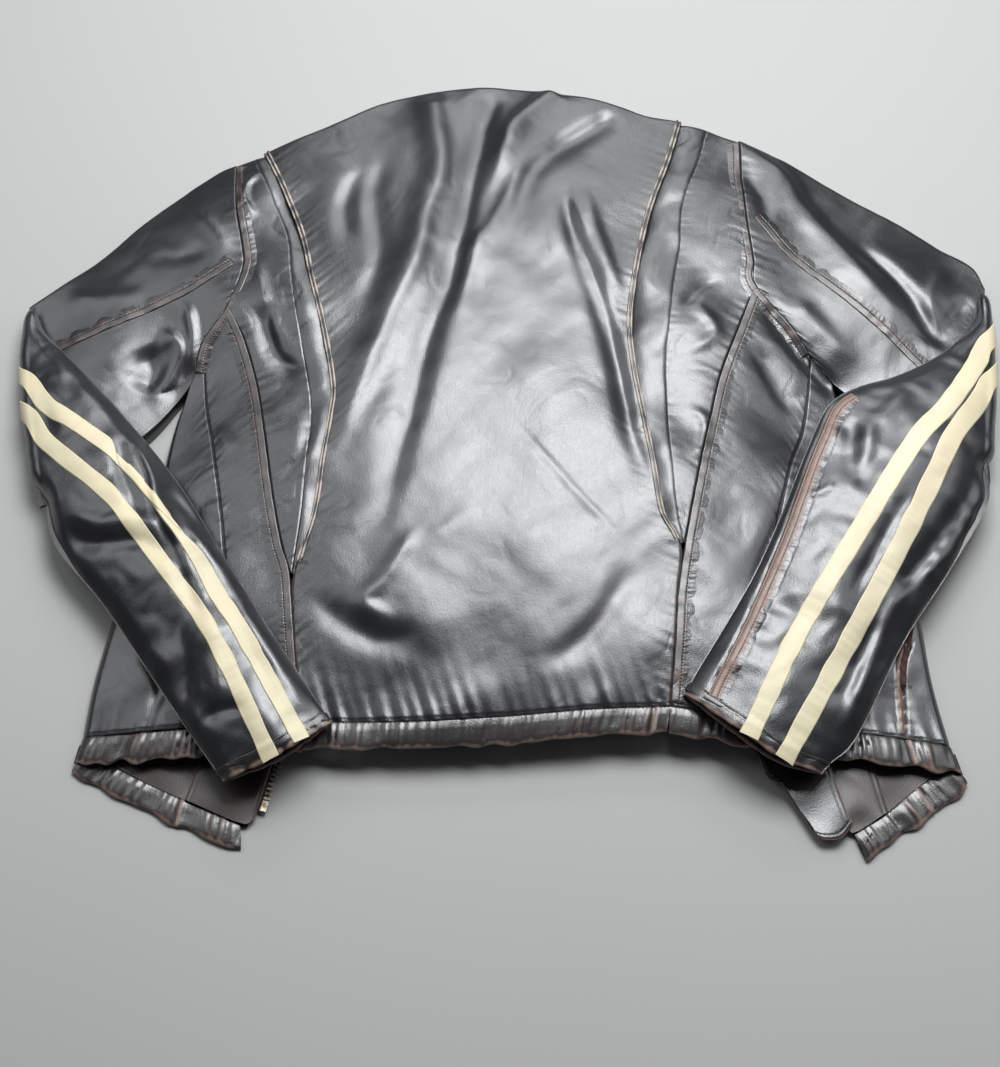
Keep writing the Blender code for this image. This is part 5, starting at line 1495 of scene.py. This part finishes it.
@dataclass
class Sleeve:
    """One sleeve: upper arm on the floor, elbow fold, forearm over the back, stripes and cuff."""

    side: Side
    armhole: Plan
    top: Plan
    low: Plan
    arm_crease: Plan
    inner: Plan
    outer: Plan
    crease: Plan
    cuff: Plan
    stripes: tuple[Plan, Plan]
    axis: tuple[float, float]
    cuff_depth: float = 0.0125
    stripe_width: float = 0.0172
    stripe_turn: tuple[float, float] = (0.62, 0.78)
    stripe_under: float = 0.046

    def __post_init__(self) -> None:
        """Sets the elbow's skin and the direction in which the sleeve ends."""
        start, stop = Curve(self.inner), Curve(self.outer)
        run = (start.at(1) - start.at(0.9)) + (stop.at(1) - stop.at(0.9))
        self.toward = run / np.linalg.norm(run)
        self.skin = ForearmSkin(self.side, self.inner, self.outer, self.crease, self.axis,
                                FOREARM_FOLDS[self.side])
        self.body = f"forearm_{self.side.value}"
        self.thread, self.cream = Stitching(), Stitching()

    def cross_elbow(self, piece: bpy.types.Object) -> None:
        """Bakes the piece's transform into its mesh."""
        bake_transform(piece)

    def build(self) -> None:
        """Makes the sleeve."""
        tag = self.side.value
        steps = (0.003, 0.011, 0.013, 0.013, 0.013)
        inset = [(x - step * self.side.out, y) for (x, y), step in zip(self.arm_crease, steps)]
        head = [self.top[0], *self.armhole[1:-1], self.low[0]]
        upper = Panel(f"upper_sleeve_back_{tag}_cut", self.top[:-1] + [inset[0]], self.low[:-1] + [inset[-1]],
                      UPPER.height(0.95), head, inset,
                      {"left": SIDE_FOLD, "right": SIDE_FOLD, "head": JOINED},
                      (), 0.0021)
        piece, size = upper.build()
        dress(piece, Finish.BLACK, "torso", [f"upper_sleeve_back_{tag}"], size)
        height = UPPER.height(0.95)
        piece, size = Lap(width=8.6, rows=(7.2,)).make(
            f"sleeve_lap_{tag}", SLEEVE_SEAMS[self.side], 1,
            lambda x, y, lift: np.stack([x, y, height(x, y) + lift], axis=-1), 11 + self.side.out,
            self.thread)
        dress(piece, Finish.BLACK, "torso", (), size)
        dress(self.thread.build(f"upper_sleeve_thread_{tag}"), Finish.THREAD, "torso")
        under = Panel(f"upper_sleeve_front_{tag}_cut", self.top, self.low, level(0.0015, 0.0001, 5), head,
                      self.arm_crease, wall=0.0012, step=0.006)
        piece, size = under.build()
        dress(piece, Finish.BLACK, "torso", [f"upper_sleeve_front_{tag}"], size)
        self.build_forearm()
        self.build_stripes()
        self.build_cuff()

    def build_forearm(self) -> None:
        """The outer layer round the elbow, the under layer, and the crease between the arms."""
        tag, out = self.side.value, self.skin.out
        ends = [self.toward * 0.003, self.toward * 0.003]
        edges = []
        for edge, end in zip((self.inner, self.outer), ends):
            knots = np.array(edge)
            edges.append([tuple(knots[0] + out * 0.11), *edge, tuple(knots[-1] + end)])
        foot = [tuple(np.array(point) + self.toward * 0.003) for point in self.cuff]
        panel = SkinPanel(f"forearm_outer_{tag}_cut", edges[0], edges[1], self.skin.top, None, foot,
                          {}, FOREARM_SEAMS[self.side], 0.0021, skin=self.skin)
        piece, size = panel.build()
        dress(piece, Finish.BLACK, None, [f"forearm_outer_{tag}"], size)
        self.cross_elbow(piece)
        if FOREARM_SEAMS[self.side]:
            thread = Stitching()
            for seam in FOREARM_SEAMS[self.side]:
                lap, size = Lap(rows=(2.0, 7.2), width=9.0, wear=0.78, spread=15.0, rise=1.1).make(
                    f"forearm_lap_{tag}", [(x * MM, y * MM) for x, y in seam.route], seam.lap,
                    self.skin.place, 23, thread)
                dress(lap, Finish.BLACK, self.body, (), size)
            dress(thread.build(f"forearm_thread_{tag}"), Finish.THREAD, self.body)
        crease = shifted(self.crease, -0.012 * self.side.out)
        under = Panel(f"forearm_inner_{tag}_cut", [crease[0], *self.inner[1:]], [crease[-1], *self.outer[1:]],
                      lambda x, y: self.skin.under(x, y) + 0.0014, crease, self.cuff, step=0.005)
        piece, size = under.build()
        dress(piece, Finish.BLACK, self.body, [f"forearm_inner_{tag}"], size)
        self.build_inner_crease(tag)

    def build_inner_crease(self, tag: str) -> None:
        """The soft strip that joins the under layer to the upper arm inside the elbow's fold."""
        t = np.linspace(self.skin.crease_t[0] + 0.040, self.skin.crease_t[-1] - 0.058, 60)
        turn = np.linspace(0, 1, 24)
        base = np.interp(t, self.skin.crease_t, self.skin.crease_n) - self.skin.REACH
        arc = np.clip((turn - 0.3) / 0.4, 0, 1) * math.pi
        inward = np.where(turn < 0.3, (0.3 - turn) / 0.3, np.where(turn > 0.7, (turn - 0.7) / 0.3, 0)) * 0.020
        n = base[None] - inward[:, None] + 0.003 * np.sin(arc)[:, None] - 0.002
        places = t[None, :, None] * self.skin.axis + n[..., None] * self.skin.out
        high = self.skin.under(places[..., 0], places[..., 1]) + 0.0004
        low = np.minimum(UPPER.lay(places[..., 0], places[..., 1]) + 0.0006, 0.0195)
        share = 0.5 + 0.5 * np.cos(arc)[:, None]
        grid = np.concatenate([places, (low + (high - low) * share)[..., None]], axis=-1)
        piece = grid_piece(f"inner_elbow_{tag}", grid, wall=0.0008, flip=self.side is Side.LEFT)
        dress(piece, Finish.BLACK, None, (), sheet_size(grid))
        self.cross_elbow(piece)

    def stripe_shape(self, index: int, share: Array) -> tuple[Array, Array]:
        """How far a stripe's two edges stand from its middle, as shares of half its width."""
        full = np.ones(share.shape)
        if self.side is Side.LEFT and index == 0:
            hidden = smooth((share - 0.34) / 0.07) * (1 - smooth((share - 0.47) / 0.22))
            return full - 1.92 * hidden, full
        return full, full

    def build_stripes(self) -> None:
        """Two cream stripes with sewn edges, from under the elbow to over the cuff."""
        for index, (place, route) in enumerate(zip(("inner", "outer"), self.stripes)):
            knots = np.array(route)
            turn = self.skin.out * self.stripe_turn[0] + self.skin.axis * self.stripe_turn[1]
            start = knots[0] + turn * np.array([[self.stripe_under], [0.4 * self.stripe_under]])
            end_run = (knots[-1] - knots[-2]) / np.linalg.norm(knots[-1] - knots[-2])
            past = self.past_cuff(knots[-1:], end_run)
            stop = [tuple(knots[-1] + end_run * (past + self.cuff_depth + 0.0006))]
            curve = Curve([tuple(point) for point in start] + list(route) + stop)
            share = np.linspace(0, 1, int(curve.total / 0.0021))
            half_across = np.array([0.3, 0.6, 0.76, 0.86, 0.94, 0.985, 1.0])
            across = np.concatenate([-half_across[::-1], [0.0], half_across])
            left, right = self.stripe_shape(index, share)
            lean = np.where(across[None] > 0, across[None] * left[:, None], across[None] * right[:, None])
            half = 0.5 * self.stripe_width
            uneven = 1.06 - 0.14 * share + 0.03 * Gathers(60 + index, 26.0)(share * curve.total / MM)
            spots = curve.beside(np.repeat(share[:, None], len(across), axis=1),
                                 lean * half * uneven[:, None])
            edge = np.abs(across)[None]
            lift = (0.25 + 0.85 * np.sqrt(np.clip((1 - edge) / 0.10, 0, 1))
                    - 0.30 * np.exp(-((edge - 0.80) / 0.05) ** 2)
                    + 0.10 * Gathers(66 + index, 7.0)(share * curve.total / MM)[:, None]) * MM
            lift = lift + self.over_hem(spots)
            places = self.skin.place(spots[..., 0], spots[..., 1], lift)
            worn = 0.35 * np.exp(-((1 - edge) / 0.05) ** 2) + 0.1 * smooth((share[:, None] - 0.93) / 0.05)
            name = f"stripe_{place}_{self.side.value}"
            piece = grid_piece(f"{name}_cut", places, np.broadcast_to(worn, lift.shape), wall=0.0009)
            dress(piece, Finish.CREAM, None, [name], sheet_size(places))
            self.cross_elbow(piece)
            steps = np.arange(0.02, curve.total - 0.003, 0.0034) / curve.total
            left, right = self.stripe_shape(index, steps)
            for sign, reach in ((1, left), (-1, right)):
                keep = reach > 0.25
                spots = curve.beside(steps[keep], sign * 0.80 * reach[keep] * half)
                lift = 0.00075 + self.over_hem(spots)
                places = self.skin.place(spots[:, 0], spots[:, 1], lift)
                self.cream.add(places, np.gradient(places, axis=0))
        piece = dress(self.cream.build(f"stripe_thread_{self.side.value}"), Finish.CREAM_THREAD, None)
        self.cross_elbow(piece)

    def past_cuff(self, spots: Array, run: Array) -> float:
        """How far from the last spot to the cuff line, along a run."""
        line = Curve(self.cuff)
        steps = np.linspace(0, 0.06, 121)
        path = spots[-1] + run * steps[:, None]
        _, _, _, near = line.near(path[:, 0], path[:, 1], 1.0)
        return float(steps[int(np.argmin(near))])

    def over_hem(self, spots: Array) -> Array:
        """The extra lift of what crosses the cuff's hem."""
        line = Curve(self.cuff)
        mask, signed, _, _ = line.near(spots[..., 0], spots[..., 1], 0.05)
        lift = np.zeros(spots.shape[:-1])
        lift[mask] = 0.0012 * smooth((-self.side.out * signed / MM + 2.0) / 3.0)
        return lift

    def build_cuff(self) -> None:
        """The turned hem of the sleeve's end, sewn through, with a worn edge."""
        tag = self.side.value
        profile = [(0.0, -0.6), (0.4, 0.5), (1.2, 0.95), (2.6, 0.55), (4.5, 1.0), (7.5, 1.05), (10.2, 0.95),
                   (11.8, 0.5), (12.5, -0.4), (11.9, -1.3), (10.0, -1.7), (4.0, -1.7), (-14.0, -1.7)]
        steps = np.linspace(0, 1, 44)
        depth = np.interp(steps, np.linspace(0, 1, len(profile)), [item[0] for item in profile]) * MM
        rise = np.interp(steps, np.linspace(0, 1, len(profile)), [item[1] for item in profile]) * MM
        turn = np.linspace(0, 2 * math.pi, 241)
        share = 0.5 - 0.5 * np.cos(turn)
        line = Curve(self.cuff)
        gather = Gathers(90 + self.side.out, 11.0)(share * line.total / MM) * np.where(turn < math.pi, 1, 0.5)
        spots = (line.at(0.006 + share * 0.988)[None] + self.toward * (depth[:, None, None]
                 + (0.0006 * gather * smooth(depth / 0.01)[:, None])[..., None]))
        lift = rise[:, None] + (0.35 * gather[None] * smooth(depth / 0.004)[:, None]) * MM
        above = self.skin.place(spots[..., 0], spots[..., 1], lift)
        low = self.skin.under(spots[..., 0], spots[..., 1]) - 0.8 * lift
        below = np.concatenate([spots, low[..., None]], axis=-1)
        places = np.where((turn < math.pi)[None, :, None], above, below)
        places[:, -1] = places[:, 0]
        wear = np.clip(0.12 + 0.75 * smooth((depth[:, None] / MM - 7.5) / 4.5) + 0.30 * gather[None], 0, 1.0)
        piece = grid_piece(f"cuff_hem_{tag}_turned", places, wear * np.ones_like(lift), closed=True,
                           flip=self.side is Side.LEFT)
        dress(piece, Finish.HEM, self.body, [f"cuff_hem_{tag}"], sheet_size(places))
        thread = Stitching()
        across = np.arange(0.004, line.total - 0.004, STITCH_PITCH) / line.total
        spots = line.at(across) + self.toward * 0.0026
        places = self.skin.place(spots[:, 0], spots[:, 1], np.full(across.shape, 0.0007))
        thread.add(places, np.gradient(places, axis=0))
        dress(thread.build(f"cuff_thread_{tag}"), Finish.THREAD, self.body)


@dataclass
class Hem:
    """The bands round the hem, gathered by elastic at the sides."""

    thread: Stitching = field(default_factory=Stitching)

    def build(self) -> None:
        """Makes the five bands and the elastic in two of them."""
        top = UPPER.height(0.5, folds=())
        floor = level(0.0045)
        for band in (Band("hem_band_back_cut", HEM_STITCH_BACK, HEM_EDGE_BACK, top, 1.1, 13.0, seams=[0.955]),
                     Band("hem_band_side_left_cut", HEM_STITCH_SIDE_LEFT, HEM_EDGE_SIDE_LEFT, top, 1.9, 10.0,
                          fold_start=True),
                     Band("hem_band_side_right_cut", HEM_STITCH_SIDE_RIGHT, HEM_EDGE_SIDE_RIGHT, top, 1.7,
                          10.0,
                          fold_stop=True, seams=[0.83]),
                     Band("hem_band_front_left_cut", HEM_STITCH_FRONT_LEFT, HEM_EDGE_FRONT_LEFT, floor, 1.7,
                          12.0,
                          seams=[0.62]),
                     Band("hem_band_front_right_cut", HEM_STITCH_FRONT_RIGHT, HEM_EDGE_FRONT_RIGHT, floor,
                          1.4, 12.0,
                          seams=[0.34])):
            piece, size = band.build()
            dress(piece, Finish.HEM, "torso", [band.name[:-4]], size)
            self.thread.add(*band.stitch_line(0.115))
        dress(self.thread.build("hem_thread"), Finish.THREAD, "torso")
        for side, stitch, edge in ((Side.LEFT, HEM_STITCH_SIDE_LEFT, HEM_EDGE_SIDE_LEFT),
                                   (Side.RIGHT, HEM_STITCH_SIDE_RIGHT, HEM_EDGE_SIDE_RIGHT)):
            lines = [[tuple((1 - share) * np.array(a) + share * np.array(b)) for a, b in zip(stitch, edge)]
                     for share in (0.25, 0.75)]
            panel = Panel(f"hem_elastic_{side.value}_cut", *lines, UPPER.height(0.2, 0.0045, ()), wall=0.001)
            piece, size = panel.build()
            dress(piece, Finish.TAPE, "torso", [f"hem_elastic_{side.value}"], size)


@dataclass
class Fronts:
    """The fronts on the floor side, with facings, linings, pockets, collar and underlap."""

    torso: Torso

    def build(self) -> None:
        """Makes what lies under the back."""
        add = self.torso.add_panel
        for side, outline, armhole, under, shoulder, neckline, stitch, line in (
                (Side.LEFT, OUTLINE_LEFT, ARMHOLE_LEFT, UNDERARM_LEFT, SHOULDER_LEFT, NECKLINE_LEFT,
                 HEM_STITCH_FRONT_LEFT, LEFT_ZIP),
                (Side.RIGHT, OUTLINE_RIGHT, ARMHOLE_RIGHT, UNDERARM_RIGHT, SHOULDER_RIGHT, NECKLINE_RIGHT,
                 HEM_STITCH_FRONT_RIGHT, RIGHT_ZIP)):
            tag, out = side.value, side.out
            edge = [beside_chain(line, share, out * 0.0085) for share in (0.97, 0.6, 0.3, 0.0)]
            outer = armhole + under[1:] + outline[1:] + [stitch[0]]
            inner = neckline + edge + [stitch[-1]]
            add(f"front_panel_{tag}", held=Held.LAID, left=shifted(outer, -0.0012 * out), right=inner,
                height=level(0.0016, 0.0002, 51), head=shoulder, foot=stitch, step=0.0055, wall=0.0013)
            near = [beside_chain(line, share, out * 0.0045) for share in (0.95, 0.5, -0.012)]
            far = [beside_chain(line, share, out * reach) for share, reach in ((0.95, 0.046), (0.5, 0.056))]
            add(f"front_facing_{tag}", Finish.FACING, left=near, right=far + [stitch[3]],
                height=level(0.0064, 0.0006, 53, 0.035), foot=[near[-1], stitch[4], stitch[3]],
                step=0.0035, wall=0.0009, styles={"left": TURNED, "right": TURNED})
            lining_edge = [beside_chain(line, share, out * 0.052) for share in (0.95, 0.5)] + [stitch[3]]
            lining_side = shifted([armhole[3], outline[1], outline[-2]], -0.016 * out) + [stitch[0]]
            add(f"front_lining_{tag}", Finish.FACING, left=lining_side, right=lining_edge, foot=stitch[:4],
                height=level(0.0034, 0.0008, 55, 0.05), step=0.004, wall=0.0008)
        add("pocket_bag_right", Finish.LINING, height=level(0.0102, 0.0003, 57), step=0.005, wall=0.0008,
            **dict(zip(("left", "right"), strip_sides([(0.298, -0.135), (0.302, -0.275)], 0.062))))
        add("pocket_bag_left", Finish.LINING, height=level(0.0102, 0.0003, 58), step=0.005, wall=0.0008,
            **dict(zip(("left", "right"), strip_sides([(-0.262, -0.135), (-0.268, -0.275)], 0.060))))
        add("pocket_welt_left", height=level(0.0024), step=0.002, wall=0.0007,
            styles={"left": TURNED, "right": TURNED},
            **dict(zip(("left", "right"), strip_sides([(-0.300, -0.165), (-0.312, -0.262)], 0.012))))
        mouth = UPPER.height(0.9)
        add("pocket_welt_right", Finish.LINING, height=lambda x, y: mouth(x, y) + 0.0017, step=0.0012,
            wall=0.0006,
            **dict(zip(("left", "right"), strip_sides([(0.3480, -0.170), (0.3405, -0.198), (0.3345, -0.220),
                                                       (0.3322, -0.238)], 0.0052))))
        left = [(-0.215, 0.270), (-0.222, 0.120), (-0.250, -0.050), (-0.262, -0.236)]
        right = [(0.180, 0.300), (0.205, 0.120), (0.245, -0.050), (0.268, -0.240)]
        add("back_lining", Finish.LINING, left=left, right=right, step=0.006, wall=0.0007,
            head=[(-0.215, 0.270), (-0.070, 0.345), (0.090, 0.340), (0.180, 0.300)],
            height=UPPER.height(0.6, 0.0085, ()))
        flap = [beside_chain(RIGHT_ZIP, 0.99, -0.041), beside_chain(RIGHT_ZIP, 0.5, -0.047),
                (0.2047, -0.2909),
                (0.2195, -0.3143), (0.2340, -0.3390), (0.2462, -0.3585)]
        chain = [beside_chain(RIGHT_ZIP, share, 0.006) for share in (0.99, 0.5, 0.05)] + [(0.2800, -0.3560)]
        add("zip_underlap", left=flap, right=chain, height=level(0.0098, 0.0009, 59, 0.06), step=0.003,
            foot=[flap[-1], (0.2500, -0.3655), (0.2565, -0.3690), (0.2690, -0.3675), chain[-1]],
            styles={"left": TURNED, "right": TURNED, "foot": TURNED})
        self.build_collar()

    def build_collar(self) -> None:
        """The stand collar, turned under the neck from one zip head to the other."""
        seam = Curve([(-0.055, 0.284), (-0.076, 0.330), (-0.072, 0.362), (-0.030, 0.377), (0.020, 0.379),
                      (0.070, 0.3775), (0.106, 0.362), (0.117, 0.320), (0.112, 0.284)])
        free = Curve([(-0.012, 0.284), (-0.026, 0.318), (-0.018, 0.330), (0.000, 0.336), (0.020, 0.338),
                      (0.044, 0.336), (0.066, 0.328), (0.076, 0.316), (0.070, 0.284)])
        u, v = np.meshgrid(np.linspace(0, 1, 170), np.linspace(0, 1, 30))
        top, bottom = seam.at(u), free.at(u)
        middle = np.sin(math.pi * u) ** 2
        place = top + (bottom - top) * v[..., None]
        place[..., 1] += np.sin(math.pi * np.minimum(v * 2, 1)) * 0.004 * middle - 0.002 * middle
        z = 0.0100 + middle * 0.017 * (1 - v) ** 2 + 0.0004 * Gathers(71, 18.0)(u * seam.total / MM)
        piece = grid_piece("collar_cut", np.concatenate([place, z[..., None]], axis=-1),
                           0.6 * np.exp(-(v / 0.08) ** 2) + 0.5 * np.exp(-((1 - v) / 0.06) ** 2), wall=0.0022)
        places = np.concatenate([place, z[..., None]], axis=-1)
        dress(piece, Finish.HEM, "torso", ["collar"], sheet_size(places))


@dataclass
class Zip:
    """The open front zip: tapes, teeth and the CAD model's metal ends, slider and pull."""

    pitch: float = 0.0042
    tooth: tuple[float, float, float] = (0.0052, 0.0022, 0.0024)

    def single_tooth(self) -> tuple[Array, list[tuple[int, ...]]]:
        """One stamped tooth, its head narrowed and its cup pressed in, with its faces."""
        deselect()
        bpy.ops.mesh.primitive_cube_add(size=1, scale=self.tooth)
        tooth = bpy.context.object
        bpy.ops.object.transform_apply(location=True, rotation=True, scale=True)
        for face in tooth.data.polygons:
            face.select = face.normal.x > 0.9
        bpy.ops.object.mode_set(mode="EDIT")
        bpy.ops.mesh.select_mode(type="FACE")
        bpy.ops.mesh.extrude_region_move(TRANSFORM_OT_translate={"value": (0.0012, 0, 0)})
        bpy.ops.transform.resize(value=(1.0, 0.62, 0.72))
        bpy.ops.mesh.inset(thickness=0.0003, depth=-0.0002)
        bpy.ops.object.mode_set(mode="OBJECT")
        finish_modifier(tooth, "BEVEL", width=0.00022, segments=1)
        points = np.array([vertex.co for vertex in tooth.data.vertices])
        faces = [tuple(face.vertices) for face in tooth.data.polygons]
        bpy.data.objects.remove(tooth, do_unlink=True)
        return points, faces

    def build(self, nodes: dict[str, bpy.types.Object]) -> None:
        """Makes tapes and teeth, and gives the metal parts their finish."""
        points, faces = self.single_tooth()
        for side, line in ((Side.LEFT, LEFT_ZIP), (Side.RIGHT, RIGHT_ZIP)):
            tag, foot, head = side.value, np.array(line[0]), np.array(line[1])
            length = float(np.linalg.norm(head - foot))
            along = (head - foot) / length
            inward = np.array([-along[1], along[0]]) * side.out
            count = int((length - 0.028) / self.pitch)
            first = 0.0112 + (0.5 if side is Side.RIGHT else 0.0) * self.pitch
            starts = first + np.arange(count) * self.pitch
            centres = foot + along * starts[:, None] + inward * -0.0002
            plan = points[None, :, :1] * inward + points[None, :, 1:2] * along
            cloud = np.concatenate([centres[:, None] + plan,
                                    np.broadcast_to(points[None, :, 2:] + CHAIN_Z,
                                                    (count, len(points), 1))], axis=-1)
            mesh = bpy.data.meshes.new(f"zip_teeth_{tag}")
            order = 1 if side is Side.LEFT else -1
            mesh.from_pydata(cloud.reshape(-1, 3).tolist(), [],
                             [tuple(index + len(points) * copy for index in face[::order])
                              for copy in range(count) for face in faces])
            piece = bpy.data.objects.new(f"zip_teeth_{tag}", mesh)
            bpy.context.scene.collection.objects.link(piece)
            only(piece)
            bpy.ops.object.mode_set(mode="EDIT")
            bpy.ops.mesh.select_all(action="SELECT")
            bpy.ops.mesh.normals_make_consistent(inside=False)
            bpy.ops.object.mode_set(mode="OBJECT")
            dress(piece, Finish.METAL, "torso", [f"zip_chain_{tag}"])
            sides = [[beside_chain(line, share, side.out * reach) for share in (0.98, 0.5, 0.0)]
                     for reach in (-0.0004, 0.0175)]
            panel = Panel(f"zip_tape_{tag}_cut", *sides, level(CHAIN_Z + 0.0003), step=0.0025, wall=0.0006)
            piece, size = panel.build()
            dress(piece, Finish.TAPE, "torso", [f"zip_tape_{tag}"], size)
        for name in ("zip_box", "zip_pin", "zip_slider", "zip_pull", "zip_top_stop_left",
                     "zip_top_stop_right"):
            for slot in nodes[name].material_slots:
                slot.material = Finish.METAL.material()


@dataclass
class Studio:
    """Pale floor, one large soft light beyond the collar, and the camera."""

    floor: float = 9.0
    floor_colour: tuple[float, float, float] = (0.36, 0.36, 0.355)
    light_place: tuple[float, float, float] = (0.24, 0.63, 1.55)
    light_size: tuple[float, float] = (1.10, 0.76)
    light_power: float = 44.0
    side_place: tuple[float, float, float] = (-1.12, 0.52, 1.30)
    side_size: tuple[float, float] = (1.1, 1.0)
    side_power: float = 8.0
    far_place: tuple[float, float, float] = (1.42, 0.45, 1.25)
    far_size: tuple[float, float] = (0.8, 0.9)
    far_power: float = 6.0
    back_place: tuple[float, float, float] = (0.12, 1.72, 1.25)
    back_size: tuple[float, float] = (1.3, 0.45)
    back_power: float = 11.0
    sky: tuple[float, float, float] = (0.065, 0.067, 0.072)
    eye: tuple[float, float, float] = (-0.007, -0.749, 1.301)
    aim: tuple[float, float, float] = (-0.007, -0.086, 0.0)
    lens: float = 55.2

    def build(self) -> None:
        """Makes the floor, the lights, the world and the camera."""
        scene = bpy.context.scene
        scene.view_settings.view_transform = "Standard"
        deselect()
        bpy.ops.mesh.primitive_plane_add(size=self.floor, location=(0, 0, 0))
        ground = bpy.context.object
        ground.name = "pale_floor"
        board = Board("pale_floor")
        tone = board.noise(board.spot(), 2.0, 3.0)
        board.set(Base_Color=board.mix(tone, self.floor_colour,
                                       tuple(0.96 * part for part in self.floor_colour)),
                  Roughness=0.85, Specular_IOR_Level=0.2)
        ground.data.materials.append(board.material)
        ground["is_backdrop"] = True
        self.softbox("main_softbox", self.light_place, self.light_size, self.light_power)
        self.softbox("side_softbox", self.side_place, self.side_size, self.side_power)
        self.softbox("far_softbox", self.far_place, self.far_size, self.far_power)
        self.softbox("back_softbox", self.back_place, self.back_size, self.back_power)
        world = bpy.data.worlds.new("plain_sky")
        world.use_nodes = True
        world.node_tree.nodes["Background"].inputs["Color"].default_value = (*self.sky, 1.0)
        scene.world = world
        camera = bpy.data.cameras.new("camera")
        camera.lens, camera.sensor_width, camera.sensor_fit = self.lens, 36.0, "AUTO"
        view = bpy.data.objects.new("camera", camera)
        view.location = self.eye
        view.rotation_euler = (Vector(self.aim) - Vector(self.eye)).to_track_quat("-Z", "Y").to_euler()
        scene.collection.objects.link(view)
        scene.camera = view

    @staticmethod
    def softbox(name: str, place: tuple[float, float, float], size: tuple[float, float],
                power: float) -> None:
        """Hangs one rectangular softbox that faces the jacket."""
        light = bpy.data.lights.new(name, "AREA")
        light.shape, light.size, light.size_y = "RECTANGLE", *size
        light.energy, light.color = power, (0.97, 0.985, 1.0)
        lamp = bpy.data.objects.new(name, light)
        lamp.location = place
        lamp.rotation_euler = (-Vector(place)).to_track_quat("-Z", "Y").to_euler()
        bpy.context.scene.collection.objects.link(lamp)


def corners() -> list[list[float]]:
    """The shown object's box as plain lists."""
    return [[float(value) for value in corner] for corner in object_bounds()]


def main() -> None:
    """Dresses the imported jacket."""
    logging.basicConfig(level=logging.INFO, format="%(name)s: %(message)s")
    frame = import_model()
    Studio().build()
    torso = Torso()
    Fronts(torso).build()
    torso.build()
    Hem().build()
    Sleeve(Side.LEFT, ARMHOLE_LEFT + UNDERARM_LEFT[1:], ARM_TOP_LEFT, ARM_LOW_LEFT, CREASE_LEFT,
           FOREARM_INNER_LEFT,
           FOREARM_OUTER_LEFT, FOREARM_CREASE_LEFT, CUFF_LINE_LEFT, (STRIPE_INNER_LEFT, STRIPE_OUTER_LEFT),
           (-0.1961, 0.9806), stripe_width=0.0150, stripe_turn=(0.69, 0.72), stripe_under=0.068).build()
    Sleeve(Side.RIGHT, ARMHOLE_RIGHT + UNDERARM_RIGHT[1:], ARM_TOP_RIGHT, ARM_LOW_RIGHT, CREASE_RIGHT,
           FOREARM_INNER_RIGHT, FOREARM_OUTER_RIGHT, FOREARM_CREASE_RIGHT, CUFF_LINE_RIGHT,
           (STRIPE_INNER_RIGHT, STRIPE_OUTER_RIGHT), (0.1340, 0.9910)).build()
    Zip().build(frame["nodes"])


if __name__ == "__main__":
    main()
